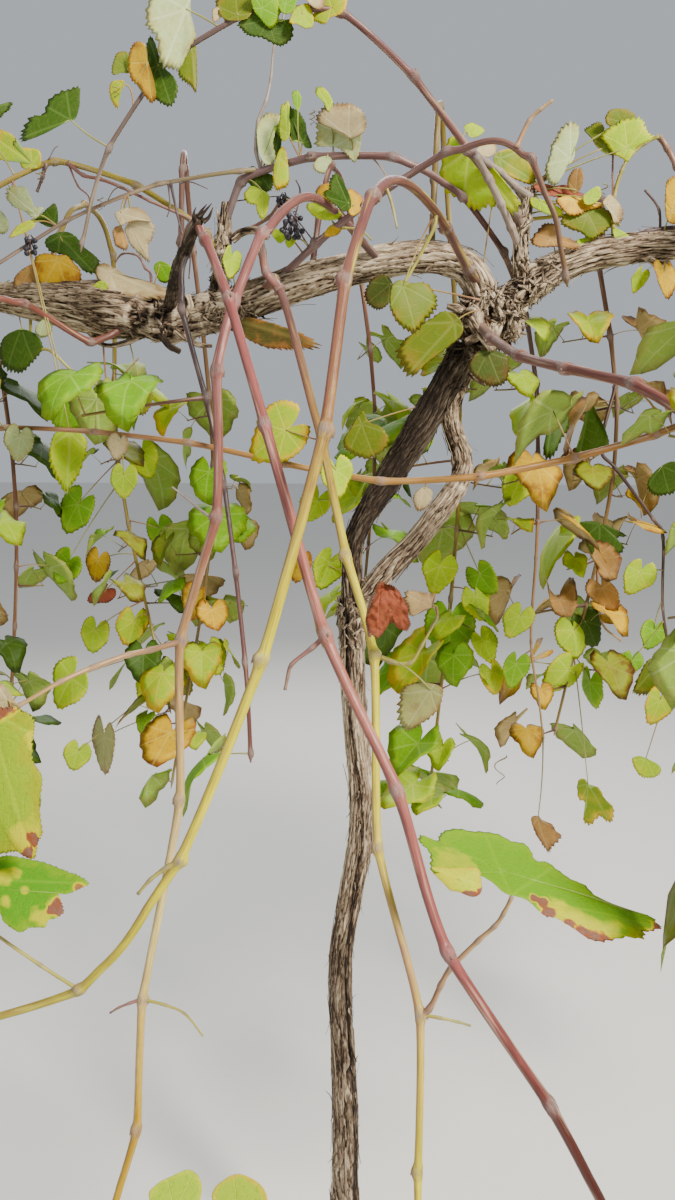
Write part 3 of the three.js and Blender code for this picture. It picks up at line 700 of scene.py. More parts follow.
def growMass(name, route, spec, start, seed):
    start = start + rule["gap"] / route.length if start > 0 else 0
    steps = max(5, int(np.floor(route.length * (1 - start) / rule["stemStep"] + 0.5)))
    rings = route.point(start + (1 - start) * np.arange(steps + 1) / steps)
    for shoot in spec.get("shoots", []):
        end = np.array(shoot["to"], float)
        stem = rings[1:][np.linalg.norm(rings[1:] - end, axis=1).argmin()]
        growth["twigs"].append((name, stem, end, rule["shootRadius"], rule["shootRadius"], seed))
        for leaf in shoot["leaves"]:
            foot, tip, face = (np.array(place, float) for place in leaf)
            growLeaf(name, stem + 0.96 * (end - stem), foot, tip, face, seed, "hero")
    joints = int(route.length * (1 - start) / rule["jointSpacing"])
    made = 0
    places = []
    for joint in range(1, joints + 1):
        share = start + (1 - start) * joint / (joints + 0.1)
        mood = 100 * seed + joint
        place = (share - start) / (1 - start) * steps
        before = min(int(place), steps - 1)
        root = rings[before] + (place - before) * (rings[before + 1] - rings[before])
        ahead = route.ahead(share)
        heading = np.pi * (chance(seed) + joint)
        if chance(mood) < spec["leafy"] or joint == joints:
            jointLeaf(name, root, ahead, heading, mood)
        if made < rule["mostShoots"] and chance(mood + 0.5) < rule["shootShare"] * spec["leafy"]:
            sideShoot(name, root, ahead, mood)
            made += 1
        places.append((share, heading, mood))
    growth["stems"].append(dict(name=name, route=route, start=start, spec=spec, places=places, seed=seed))


def thinning(spec):
    return lambda share: spec["thick"] + (spec["thin"] - spec["thick"]) * share


def shootWay(x, side, seed):
    middle = oldWood["arm_left_arch"]["way"][5][0] < x < rule["headCentre"][0]
    arm = "arm_left_arch" if middle else ("arm_left_end" if x < 0 else "arm_right")
    points = Route(oldWood[arm]["way"]).point(np.linspace(0, 1, 201))
    root = points[np.abs(points[:, 0] - x).argmin()]
    law = shootRule
    rise = law["rise"] + law["riseSpread"] * chance(seed)
    out = side * (law["out"] + law["outSpread"] * chance(seed + 1))
    hang = law["hang"] + law["hangSpread"] * chance(seed + 2)
    drift = law["drift"] * (chance(seed + 3) - 0.5)
    sway = law["sway"] * (chance(seed + 4) - 0.5)
    a, _, c = root
    return [root, (a + 0.2 * drift, 0.45 * out, c + rise), (a + 0.5 * drift, out, c + 0.75 * rise),
            (a + 0.8 * drift + sway, 1.25 * out, c - 0.35 * hang), (a + drift - sway, 1.2 * out, c - hang)]


def growAll():
    for name, spec in oldWood.items():
        remember(name, Route(spec["way"]), 0, 1, lambda share, name=name: woodRadius(name, share, 0))
    taken.add(numberOf("head"), np.array([rule["headCentre"]], float), rule["headSize"][0])
    for name, spec in canes.items():
        route = spec["route"] = Route(spec["way"])
        if spec["bare"] > 0:
            remember("limb_" + name, route, 0, spec["bare"], thinning(spec))
        remember("leaves_" + name, route, spec["bare"], 1, thinning(spec))
    starts = [(x, -1) for x in frontShoots] + [(x, 1) for x in backShoots]
    shoots = []
    for i, (x, side) in enumerate(starts):
        route = Route(shootWay(x, side, shootRule["firstSeed"] + i))
        shoots.append((f"leaves_{'front' if side < 0 else 'back'}_{i + 1}", route))
        remember(shoots[-1][0], route, 0, 1, thinning(shootRule))
    for name, spec in canes.items():
        growMass("leaves_" + name, spec["route"], spec, spec["bare"], spec["seed"])
    for i, (name, route) in enumerate(shoots):
        growMass(name, route, dict(shootRule, tones=shootTones[i % 3]), 0, shootRule["firstSeed"] + i)


growAll()
print("grown by the rule:", len(growth["leaves"]), "leaves,", len(growth["twigs"]), "side shoots")

# Old wood. Lengthwise strips of bark lie like slates round a limb: a saw across the girth that
# drifts as it runs, each strip lifting towards its end, with fine fibres on top.
barkLook = dict(sides=112, step=3.2, spurSides=56, spurStep=2, stripWidth=7.0, stripLength=120, ridge=2.1,
                crease=3.0, lift=1.6, fibre=0.7, broad=1.4, trunkRelief=0.75, foldWidth=0.07)
trunkFolds = [(2.4, 3.0), (4.9, 2.4)]  # the side and depth of each lengthwise fold of the trunk
wrinkles = dict(place=0.62, width=0.22, calm=0.6, rings=1.1, knots=1.9)  # of the lighter stem's bend
gnarls = {  # where old wood is knotted: place, reach and height of the lumps
    "arm_left_end": [(0.1, 0.07, 6.0), (0.02, 0.03, 3.5)], "arm_left_arch": [(0.0, 0.06, 4), (0.97, 0.05, 3)],
    "arm_right": [(0.0, 0.04, 5), (0.06, 0.04, 3)], "stem_left": [(1.0, 0.12, 4)],
    "stem_right": [(0.0, 0.08, 2.5), (1.0, 0.1, 4)], "trunk": [(0.99, 0.05, 3), (0.0, 0.05, 2)],
    "spur_left": [(0.3, 0.5, 3.2)], "spur_right": [(0.4, 0.5, 2.6)],
}
# Tone of the bark from foot to end, see makeBarkFinish. Values below 0 are painted shade: all of stem_left, dark
# stretches of the trunk and of arm_left_arch, the foot of arm_left_end and of spur_left, and the end of stem_right.
# Values above 0 are pale weathered wood, partly painted sunlight on the arms and the upper trunk.
woodToneAndShade = dict(
    trunk=[0, -0.2, -0.3, -0.55, 0.2, 0.6, -0.1], stem_left=[-0.4, -1, -1, -1, -0.9],
    stem_right=[0.2, 0.35, 0.2, 0.3, 0, -0.4], arm_left_arch=[0, 0.5, 0.7, 0.7, 0.4, -0.35, -0.4],
    arm_left_end=[-0.45, 0.1, 0.4, 0.6, 0.5], arm_right=[0.1, 0.5, 0.6, 0.4, 0.3], spur_left=[-0.3, 0, 0.3],
    spur_right=[0.2, 0.6, 0.9])
# Tone of the stubs on the same scale: dark brings a stub towards the bark's painted shade, partly painted shade for
# the dark purple-brown snapped cane and the stubs by the knot.
stubTone = dict(dark=-0.95, mid=-0.1, light=0.45)


def barkRelief(angle, reach, girth, seed):
    look = barkLook
    turn = angle / (2 * np.pi)
    count = max(5, round(girth / look["stripWidth"]))
    drift = (1.5 * ripple(turn * 3, reach / 150, 3, seed) + 0.6 * ripple(turn * 5, reach / 42, 5, seed + 1)
             + 0.22 * ripple(turn * 9, reach / 15, 9, seed + 2))
    place = turn * count + drift
    strip = np.mod(np.floor(place), count)
    across = place - np.floor(place)
    run = reach / look["stripLength"] + chance(strip + seed)
    along = run - np.floor(run)
    loose = chance(strip * 7 + np.floor(run) * 3 + seed)
    height = look["ridge"] * (across ** 0.8 - 0.5) * (0.4 + loose)
    height += look["lift"] * loose * along ** 4
    height -= look["crease"] * smooth(1 - across / 0.16) * (0.5 + 0.5 * loose)
    fine = 3 * count
    height += look["fibre"] * (ripple(turn * fine, reach / 30, fine, seed + 3)
                               + 0.6 * ripple(turn * 2 * fine, reach / 11, 2 * fine, seed + 4))
    return height + look["broad"] * ripple(turn * 4, reach / 55, 4, seed + 5)


def makeOldWood(name, spec):
    look = barkLook
    route = Route(spec["way"])
    small = name.startswith("spur")
    sides = look["spurSides"] if small else look["sides"]
    steps = max(24, int(route.length / (look["spurStep"] if small else look["step"])))
    share = np.linspace(0, 1, steps)[:, None]
    angle = (2 * np.pi * np.arange(sides) / sides)[None, :]
    radius = woodRadius(name, share, angle)
    girth = 2 * np.pi * radius.mean()
    seed = 10 * (list(oldWood).index(name) + 1)
    reach = share * route.length
    relief = barkRelief(angle, reach + 0 * angle, girth, seed) * min(1, girth / 90)
    turn = angle / (2 * np.pi)
    for place, width, height in gnarls.get(name, []):
        near = np.exp(-((share - place) / width) ** 2)
        knots = 1 - 2 * abs(ripple(turn * 7, reach / 16, 7, seed + 8))
        pits = ripple(turn * 13, reach / 8, 13, seed + 9)
        relief = relief + near * height * (0.6 * knots + 0.45 * pits - 0.2)
    if name == "stem_right":  # rings of wrinkles where the lighter stem bends
        near = np.exp(-((share - wrinkles["place"]) / wrinkles["width"]) ** 2)
        rings = ripple(turn * 3, reach / 4.2 + 1.2 * ripple(turn * 4, reach / 30, 4, 5), 3, 61)
        knots = ripple(turn * 5, reach / 13, 5, 66)
        relief = relief * (1 - wrinkles["calm"] * near)
        relief = relief + near * (wrinkles["rings"] * rings + wrinkles["knots"] * knots)
    if name == "trunk":  # smoother bark, and two deep lengthwise folds
        relief = look["trunkRelief"] * relief
        for side, depth in trunkFolds:
            fold = np.cos(angle - side - 0.9 * np.sin(reach / 260))
            relief = relief - depth * smooth((fold - 1) / look["foldWidth"] + 1)
    piece = Gather()
    centres = route.point(share[:, 0])[None]
    tubes(piece, centres, (radius + relief)[None], sides, level=name == "trunk", offset=0.37 * seed,
          relief=np.clip(relief / 3, -1, 1)[None], tone=spread(woodToneAndShade[name], share[:, 0])[None])
    piece.build("bark_" + name, [bark], "bark", [name])


# The knotted head: a ball of lumps, with burrs that stand out where canes were cut away.
headLook = dict(across=150, down=96, inset=0.94, burr=5.5, burrCell=19, knob=3.6, knobCell=7, sink=2,
                grit=1.8, gritCell=3.2)


def makeHead():
    look = headLook
    shape, quads, tris, _, _ = ball(look["across"], look["down"])
    size = np.array(rule["headSize"], float)
    lump = 1 + 0.1 * np.sin(4 * shape[..., 0] + 3 * shape[..., 2]) * np.cos(5 * shape[..., 1] + 1)
    wide, fine, grit = (lumps(shape * size, look[cell], seed)
                        for cell, seed in (("burrCell", 3), ("knobCell", 9), ("gritCell", 21)))
    relief = look["burr"] * (1 - 2 * abs(wide)) + look["knob"] * fine - look["sink"] + look["grit"] * grit
    shell = shape * (size * lump[..., None] * look["inset"] + relief[..., None]) + rule["headCentre"]
    ends = np.stack([shell[0].mean(0), shell[-1].mean(0)])
    points = np.concatenate([shell.reshape(-1, 3), ends])
    relief, tone = (np.append(value.ravel(), [0, 0]) for value in (relief / 6, 0.5 * wide))
    piece = Gather()
    piece.add(points, quads, tris, relief=relief, tone=tone, grain=points * mm * np.array([1, 1, 0.5]))
    piece.build("bark_head", [bark], "bark", ["head"])


# Loose bark: thin ribbons that lie along the old wood, come away at one end and curl, with short chips
# crowded on the knots and on the head. A ribbon's edge is its middle +- half its width sideways.
stripLook = dict(spacing=5.5, longest=95, shortest=12, widest=5.5, thick=0.45, steps=8, onHead=420,
                 onKnot=110, downward=0.75, above=0.9, sag=0.35)


def addStrips(piece, name, n, start, length, width, curl, twist):
    look = stripLook
    route = Route(oldWood[name]["way"])
    way = np.where(chance(n + 0.2) < look["downward"], -1.0, 1.0)[:, None]
    t = np.linspace(0, 1, look["steps"])
    share = np.clip(start[:, None] + way * t * (length / route.length)[:, None], 0.004, 0.996)
    angle = 2 * np.pi * chance(n + 0.3)[:, None] + twist * (chance(n + 0.1)[:, None] - 0.5) * t
    dense = np.linspace(0, 1, 400)
    centres = route.point(dense)[None]
    _, across, other = carry(centres, name == "trunk")
    middle, side, front = (between(share, dense, line[0]) for line in (centres, across, other))
    out = unit(np.cos(angle)[..., None] * side + np.sin(angle)[..., None] * front)
    height = woodRadius(name, share, angle) + look["above"] + curl[:, None] * t ** 2.5
    half = 0.5 * width[:, None] * (1 - 0.75 * t ** 3) * (0.35 + 0.65 * smooth(4 * t))
    # ribbons take the tone of their wood, painted shade and painted sunlight included, give or take a little at
    # random
    tone = spread(woodToneAndShade[name], start) + 0.7 * (chance(n + 0.6) - 0.5)
    addRibbons(piece, middle + out * height[..., None], out, half, tone, n)


def addRibbons(piece, middle, out, half, tone, n):  # closed ribbons along middle lines (ribbons, steps, 3)
    number, steps = middle.shape[:2]
    aside = unit(np.cross(np.gradient(middle, axis=1), out)) * half[..., None]
    sag, thick = stripLook["sag"] * half[..., None] * out, stripLook["thick"] * out
    shell = np.stack([middle - aside - sag, middle + thick, middle + aside - sag, middle - 0.6 * thick], 2)
    sides = 4
    last = (steps - 1) * sides + np.arange(sides)
    quads = np.concatenate([ringFaces(steps, sides), [[3, 2, 1, 0], last]])
    shift = steps * sides * np.arange(number)[:, None, None]
    reach = np.arange(steps)[None, :, None] * 6.0 + 0 * shell[..., 0]
    grain = np.stack([reach * 0 + n[:, None, None] * 11.0, reach * 0 + 3 * np.arange(sides), reach], -1) * mm
    relief = 0.9 * chance(n + 5)[:, None, None] - 0.3 + 0 * reach
    piece.add(shell, quads + shift, np.zeros((number, 0, 3), int), 0, 0, grain=grain, relief=relief,
              tone=tone[:, None, None] + 0 * reach)


def makeStrips():
    piece = Gather()
    look = stripLook
    for order, name in enumerate(oldWood):
        n = np.arange(int(Route(oldWood[name]["way"]).length / look["spacing"])) + 1000 * order
        length = look["shortest"] + (look["longest"] - look["shortest"]) * chance(n + 0.5) ** 2.5
        width = 1.0 + (look["widest"] - 1.0) * chance(n + 0.7) ** 1.5
        addStrips(piece, name, n, 0.03 + 0.94 * chance(n), length, width, 1 + 9 * chance(n + 0.9) ** 3, 0.5)
        for knot, (place, reach, height) in enumerate(gnarls[name]):
            n = np.arange(look["onKnot"]) + 1000 * order + 400 + 120 * knot
            start = np.clip(place + reach * (chance(n) + chance(n + 0.4) - 1) * 1.3, 0.01, 0.99)
            addStrips(piece, name, n, start, 5 + 10 * chance(n + 0.5), 2 + 4 * chance(n + 0.7),
                      2 + height * chance(n + 0.9), 1.6)
    n = np.arange(look["onHead"]) + 9000
    wave, turn = 2 * chance(n + 0.1) - 1, 2 * np.pi * chance(n + 0.2)
    flat = np.sqrt(1 - wave ** 2)
    out = np.stack([flat * np.cos(turn), flat * np.sin(turn), wave], -1)
    run = unit(np.cross(out, unit(chance(n[:, None] * 3.1 + [0.1, 0.2, 0.3]) - 0.5)))
    t = np.linspace(0, 1, look["steps"])[None, :, None]
    foot = out * (np.array(rule["headSize"]) * 0.97 + 1.5) + rule["headCentre"]
    length, curl = 6 + 14 * chance(n + 0.4), 1.5 + 7 * chance(n + 0.5) ** 2
    lift = out[:, None] * t ** 2 * curl[:, None, None]
    middle = foot[:, None] + run[:, None] * t * length[:, None, None] + lift
    half = (1.2 + 2.6 * chance(n + 0.7))[:, None] * (1 - 0.7 * t[..., 0] ** 2)
    out = np.repeat(out[:, None], look["steps"], axis=1)
    addRibbons(piece, middle, out, half, 1.2 * chance(n + 0.8) - 0.6, n)
    piece.build("bark_strips", [bark], "bark", [])


bark = makeBarkFinish()
for woodName, woodSpec in oldWood.items():
    makeOldWood(woodName, woodSpec)
makeHead()
makeStrips()
print("old wood made")

# Canes. A cane thins evenly, kinks a little from joint to joint and swells at each one; fine ridges run along it.
# Each joint has a bud on one side.
caneLook = dict(sides=20, step=2.6, shootSides=10, shootStep=5.5, straight=0.6, furthest=5.0, ridge=0.02,
                oval=0.06, knuckle=0.5, furthestJoint=14, budShape=[0.9, 1.0, 0.95, 0.75, 0.45, 0.1],
                swells=[(0, 5, 0.2), (0, 17, 0.12), (5, 1.5, 0.09), (-4, 1.3, 0.07)])  # place, width, height


def jointShares(route, stem, pixels):
    shares = [place[0] for place in stem["places"]]
    if pixels:
        shares = [route.shareAtPixel(pixel) for pixel in pixels]
    else:
        first = shares[0] if shares else 0.5
        spacing = rule["jointSpacing"] / route.length
        shares = list(np.arange(first - spacing, 0.02, -spacing)[::-1]) + shares
    return np.array(sorted(shares))


# How far a cane's points move sideways so that its joints lie on those of the photograph: from joint to
# joint the move changes evenly, and it is 0 at both ends.
def alignment(route, pixels, share):
    if not pixels:
        return 0
    moves = [(0, np.zeros(3)), (1, np.zeros(3))]
    for pixel in pixels:
        at = route.shareAtPixel(pixel)
        middle = route.point(at)
        move = spot(pixel, middle[1]) - middle
        moves.append((at, move * min(1, caneLook["furthestJoint"] / max(np.linalg.norm(move), 1e-6))))
    moves.sort(key=lambda move: move[0])
    places = [at for at, _ in moves]
    return between(share, places, np.array([move for _, move in moves]))


def isShoot(name):  # whether a stem is one of the hanging shoots in front of the arms or behind them
    return name.split("_")[1] in ("front", "back")


def makeCane(stem, spec, finish, nodes):
    look = caneLook
    route = stem["route"]
    fine = not isShoot(stem["name"])
    sides = look["sides"] if fine else look["shootSides"]
    steps = int(route.length / (look["step"] if fine else look["shootStep"]))
    share = np.linspace(0, 1, steps)
    joints = jointShares(route, stem, spec.get("joints"))
    away = (share[:, None] - joints[None, :]) * route.length
    swell = sum(height * np.exp(-((away - place) / width) ** 2) for place, width, height in look["swells"])
    swell = swell.sum(axis=1)
    near = np.exp(-(away / 5) ** 2).sum(axis=1)
    angle = 2 * np.pi * np.arange(sides) / sides
    girth = 1 + look["ridge"] * np.cos(7 * angle) + look["oval"] * np.cos(2 * angle + 1)
    size = thinning(spec)(share) * (1 + swell) * (1 - smooth((share - 0.985) / 0.015) * 0.7)
    centres = route.point(share)
    ends = np.concatenate([[0], joints, [1]])  # from joint to joint a cane is nearly straight
    corners = route.point(ends)
    chord = between(share, ends, corners)
    pull = look["straight"] * (chord - centres)
    far = np.linalg.norm(pull, axis=1, keepdims=True)
    centres = centres + pull * np.minimum(1, look["furthest"] / np.maximum(far, 1e-6))
    centres = centres + alignment(route, spec.get("joints"), share)
    stem["line"] = (share, centres, size)
    _, across, other = carry(centres[None])
    ring = across[0, :, None] * np.cos(angle)[:, None] + other[0, :, None] * np.sin(angle)[:, None]
    closest = np.abs(away).argmin(axis=1)
    facing = np.clip((ring * budWays(stem, joints)[closest][:, None]).sum(-1), 0, 1)
    knuckle = look["knuckle"] * facing ** 1.5 * np.exp(-(np.abs(away).min(axis=1) / 5) ** 2)[:, None]
    piece = Gather()
    tubes(piece, centres[None], (size[:, None] * (girth + knuckle))[None], sides, along=share[None],
          joint=near[None], offset=0.53 * stem["seed"])
    addBuds(piece, stem, joints if fine else joints[:-1])
    piece.build("cane_" + stem["name"].replace("leaves_", ""), [finish, budFinish], "cane", nodes)


def onLine(stem, shares):  # the middle, direction and radius of a cane as it was made
    share, centres, size = stem["line"]
    return between(shares, share, centres), stem["route"].ahead(shares), np.interp(shares, share, size)


def budWays(stem, joints):  # to which side the bud of each joint points
    ahead = stem["route"].ahead(joints)
    heading = np.pi * (chance(stem["seed"]) + np.arange(len(joints)))
    out = np.stack([np.cos(heading), np.sin(heading), 0 * heading], -1)
    return unit(out - (out * ahead).sum(-1, keepdims=True) * ahead)


def addBuds(piece, stem, joints):  # a small pointed bud at each joint
    middle, ahead, size = onLine(stem, joints)
    out = budWays(stem, joints)
    t = np.linspace(0, 1, 6)
    root = middle + out * (size * 1.05)[:, None]
    reach = t[:, None] * (1.6 + 0.7 * size)[:, None, None]
    centres = root[:, None] + unit(0.7 * out + 1.5 * ahead)[:, None] * reach
    tubes(piece, centres, (size * 0.3)[:, None] * caneLook["budShape"], 8, 1, along=0.5, joint=0.3)


budFinish = plainFinish("bud", "86695c", 0.75, 0.0005, 500)
stems = {stem["name"]: stem for stem in growth["stems"]}
for caneName, caneSpec in canes.items():
    caneNodes = ["leaves_" + caneName] + (["limb_" + caneName] if caneSpec["bare"] > 0 else [])
    caneTones = dict(stops=caneSpec["tones"], **caneSpec.get("look", {}))
    makeCane(stems["leaves_" + caneName], caneSpec, caneFinish("cane_" + caneName, **caneTones), caneNodes)
shootFinishes = [caneFinish(f"shoot_{i + 1}", tones) for i, tones in enumerate(shootTones)]
for order, stemName in enumerate(filter(isShoot, stems)):
    makeCane(stems[stemName], stems[stemName]["spec"], shootFinishes[order % 3], [stemName])
print("canes made")

# Leaves. A blade is a broad heart with a short tip and toothed edges: its edge lies at r(a) in leaf
# lengths from the foot, with a the angle from the tip. Rings of points run out to it.
# deep and shaded are dark greens that paint shade on leaves, and on parts of leaves, that lie in shade; dealt out
# by spray, deep is a darker green at random.
tints = {  # middle, rim and veins of the upper side, the finish of the underside
    "fresh": ("669800", "8cac08", "9cbc48", "underGreen"), "lime": ("98b800", "bcc20c", "c2cc54", "underGreen"),
    "turning": ("96b208", "d6a810", "c4c44a", "underGreen"), "golden": ("d2a60e", "9a5e1c", "dcc258", "underStraw"),
    "spotted": ("8a9418", "6a3e1c", "a89a44", "underStraw"), "olive": ("5f7010", "80701c", "848e40", "underGreen"),
    "dry": ("aa8044", "724826", "bf9c66", "underStraw"), "rust": ("90422a", "66301e", "a05840", "underBrown"),
    "deep": ("34500c", "405414", "5c7630", "underGreen"), "pale": ("aab87c", "a09a58", "ccd2a4", "underFresh"),
    "straw": ("bfac7e", "8f6d42", "d2c298", "underBrown"), "shaded": ("414e16", "5c3c1c", "69743a", "underGreen"),
    "rimmed": ("68800e", "c4a41c", "8ea048", "underGreen"), "peach": ("b89c68", "8c6a44", "ccb484", "underBrown"),
    "sage": ("9c9c5c", "8c6c40", "b0b07c", "underFresh"), "dusk": ("4c461a", "96602c", "7a6a34", "underBrown"),
}
undersides = dict(underGreen=("84a03c", "989c44", "aeba78"), underStraw=("ac9460", "8a6430", "c2ac7c"),
                  underBrown=("784c32", "5c3826", "8c644a"), underFresh=("709010", "84a01c", "9cb244"))
sprayMoods = [["fresh", "lime", "turning", "fresh", "lime"], ["turning", "golden", "spotted", "lime", "lime"],
              ["lime", "turning", "olive", "golden", "fresh"], ["golden", "dry", "spotted", "turning", "lime"],
              ["fresh", "fresh", "lime", "olive", "turning"], ["deep", "fresh", "lime", "spotted", "lime"]]


def edgeOf(angle, tooth, teeth):
    a = np.abs(angle)
    heart = 0.68 - 0.05 * a + 0.28 * np.exp(-(a / 0.45) ** 2) + 0.03 * np.exp(-((a - 1.0) / 0.3) ** 2)
    sinus = 1 - 0.82 * smooth((a - 2.6) / (np.pi - 2.6))
    return heart * sinus * (1 + tooth * teeth * np.clip(sinus, 0, 1))


class BladePlan:  # the points and faces that every blade of one fineness shares
    def __init__(self, rings, angles, tooth):
        t = 2 * (np.arange(angles) + 0.5) / angles - 1
        self.angle = np.pi * (1.08 * t - 0.08 * t ** 3)
        teeth = np.where(np.arange(angles) % 2, 1.0, -1.0)
        self.edge = edgeOf(self.angle, tooth, teeth)
        smoothEdge = edgeOf(self.angle, 0, 0)
        self.ring = np.arange(1, rings + 1) / rings
        reach = self.ring[:, None] * (smoothEdge + (self.edge - smoothEdge) * self.ring[:, None] ** 6)
        self.x = np.append(0, (reach * np.sin(self.angle)).ravel())
        self.y = np.append(0, (reach * np.cos(self.angle)).ravel())
        self.r = np.append(0, np.repeat(self.ring, angles))
        j = np.arange(angles)
        upper = 1 + ringFaces(rings, angles)
        fan = np.stack([0 * j, 1 + (j + 1) % angles, 1 + j], -1)
        top = 1 + rings * angles
        under = np.arange(top)
        under[:top - angles] += top
        self.size = 2 * top - angles
        self.quads = np.concatenate([upper, under[upper][:, [0, 3, 2, 1]]])
        self.tris = np.concatenate([fan, under[fan][:, ::-1]])
        self.inner = top - angles
        self.quadSide = np.repeat([0, 1], len(upper))
        self.triSide = np.repeat([0, 1], angles)
        self.angles, self.rings = angles, rings


bladePlans = dict(ruled=BladePlan(3, 28, 0.03), seen=BladePlan(7, 60, 0.03), hero=BladePlan(26, 150, 0.02))


# Bends flat blades. Columns of form: fold along the middle, cup, droop of the tip, waves of the edge
# and curl of a dry leaf round its middle. z = fold |x| - cup (x x + y y) - droop y y + wave r r sin(3a).
def shapeBlades(plan, rows, form):
    x, y, r = plan.x[None], plan.y[None], plan.r[None]
    fold, cup, droop, wave, curl = (form[:, k:k + 1] for k in range(5))
    mood = rows["mood"][:, None]
    around = np.arctan2(x, y)
    bent = 1 / np.maximum(curl, 0.05)
    side = np.where(curl > 0.05, np.sin(x / bent) * bent, x)
    z = np.where(curl > 0.05, (1 - np.cos(x / bent)) * bent, 0 * x)
    z = z + fold * np.abs(x) - cup * (x * x + (y - 0.25) ** 2) - droop * np.maximum(y, 0) ** 2
    z = z + wave * r ** 2 * np.sin(3 * around + 6.3 * chance(mood + 0.4))
    z = z + wave * 0.4 * r ** 3 * np.sin(5 * around + 6.3 * chance(mood + 0.6))
    side = side * (1 - 0.25 * np.abs(fold))
    return side, y * (1 - 0.15 * droop), z


# The lower side of blades shares its rim with the upper side, and its other points lie in from those of
# the upper side along the normal, which is the cross product of the ways along and across the rings.
def lowerSide(plan, upper, thick):
    grid = upper[:, 1:].reshape(len(upper), plan.rings, plan.angles, 3)
    inner = np.concatenate([np.broadcast_to(upper[:, :1, None], grid[:, :1].shape), grid[:, :-1]], axis=1)
    normal = unit(np.cross(np.roll(grid, -1, axis=2) - np.roll(grid, 1, axis=2), grid - inner))
    middle = unit(normal[:, :1].mean(axis=2))
    normal = np.concatenate([middle, normal.reshape(len(upper), -1, 3)], axis=1)
    return (upper - thick * normal)[:, :plan.inner]


def makeBlades(into, plan, rows, form, slots):
    side, lengthwise, lift = shapeBlades(plan, rows, form)
    foot, tip = rows["foot"], rows["tip"]
    size = np.linalg.norm(tip - foot, axis=1)[:, None, None]
    forward = unit(tip - foot)
    cross = unit(np.cross(forward, rows["face"]))
    out = np.cross(cross, forward)
    flat = side[..., None] * cross[:, None] + lengthwise[..., None] * forward[:, None]
    upper = foot[:, None] + size * (flat + lift[..., None] * out[:, None])
    points = np.concatenate([upper, lowerSide(plan, upper, bladeThick)], axis=1)
    shift = plan.size * np.arange(len(foot))[:, None, None]
    place = np.stack([plan.x, plan.y, plan.r], -1)
    place = np.concatenate([place, place[:plan.inner]])
    into.add(points, plan.quads + shift, plan.tris + shift, slots[:, plan.quadSide], slots[:, plan.triSide],
             blade=np.broadcast_to(place, points.shape))


finishOrder = list(tints) + list(undersides)
bladeThick, drawnThick = 0.5, 0.4
bladeFinishes = [bladeFinish("blade_" + name, *colours[:3], 0.75 if name in ("pale", "straw") else 0.55,
                             0.9 if name in ("spotted", "golden", "shaded", "dusk", "sage") else 0.0)
                 for name, colours in tints.items()]
bladeFinishes += [bladeFinish("blade_" + name, *colours, gloss=0.75) for name, colours in undersides.items()]


def leafRows(leaves):
    rows = {key: np.array([leaf[key] for leaf in leaves], float) for key in ("foot", "tip", "face", "mood")}
    rows["root"] = np.array([leaf["root"] for leaf in leaves], float)
    return rows


def formOf(rows, dry):
    mood = rows["mood"]
    fold = 0.55 * (chance(mood + 0.11) - 0.45)
    cup = 0.5 * (chance(mood + 0.22) - 0.35)
    droop = 0.45 * chance(mood + 0.33)
    wave = 0.03 + 0.07 * chance(mood + 0.44) + 0.04 * dry
    curl = np.where(dry > 0, 1.2 + 1.6 * chance(mood + 0.55), 0.0)
    return np.stack([fold, cup, droop, wave, curl], -1)


def sidesOf(tint):  # the slots of a leaf's two sides
    return [finishOrder.index(tint), finishOrder.index(tints[tint][3])]


def tintOf(leaf):
    spray = sprayMoods[int(chance(numberOf(leaf["owner"]) * 0.37) * len(sprayMoods))]
    return leaf.get("tint") or spray[int(chance(leaf["mood"] + 0.77) * len(spray))]


# Finer twigs: at most joints one or two short laterals with smaller leaves, inside the reach of the mass.
finer = dict(leastLeafy=0.3, kept=0.8, length=38, lengthSpread=45, margin=12, room=9, filled=3, thick=1.7,
             thin=1.1, leafPlaces=(0.95, 0.6, 0.3), leafSize=0.55, leafStep=0.12)


def growFiner():
    for name, stem in stems.items():
        low, high = (np.array(corner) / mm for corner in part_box(name))
        if stem["spec"]["leafy"] < finer["leastLeafy"]:
            continue
        for share, heading, joint in stem["places"]:
            for side in (0, 1):
                mood = joint + 0.013 * side
                if chance(mood + 0.66) > finer["kept"]:
                    continue
                root = stem["route"].point(share + 0.3 * side * rule["jointSpacing"] / stem["route"].length)
                ahead = stem["route"].ahead(share)
                turn = heading + np.pi * (0.9 + 0.3 * chance(mood + 0.15) - side)
                way = unit(np.array([np.cos(turn), np.sin(turn), 0.2]) + 0.35 * ahead)
                end = root + (finer["length"] + finer["lengthSpread"] * chance(mood + 0.35)) * way
                outside = ((end < low + finer["margin"]) | (end > high - finer["margin"])).any()
                if outside or not taken.isFree(numberOf(name), end[None], finer["room"]):
                    continue
                taken.add(numberOf(name), end[None], finer["filled"])
                growth["twigs"].append((name, root, end, finer["thick"], finer["thin"], mood))
                for k, place in enumerate(finer["leafPlaces"]):
                    inside = root + place * (end - root)
                    size = finer["leafSize"] + finer["leafStep"] * k
                    jointLeaf(name, inside, way, turn + k * 2.2, mood + 0.07 * (k + 1), size, "small")


# Boxes of pixels (left, top, right and lower edge) where the photograph shows few leaves, or bare old
# wood: leaves and twigs of the rule are left out there, and those that it does show are drawn below.
clearings = [(-40, -60, 545, 215), (535, -60, 720, 300), (-40, 215, 450, 345), (450, 215, 535, 352),
             (225, 345, 335, 480)]


def isOpen(place):
    x, y = seen(place)
    return any(left < x < right and top < y < low for left, top, right, low in clearings)


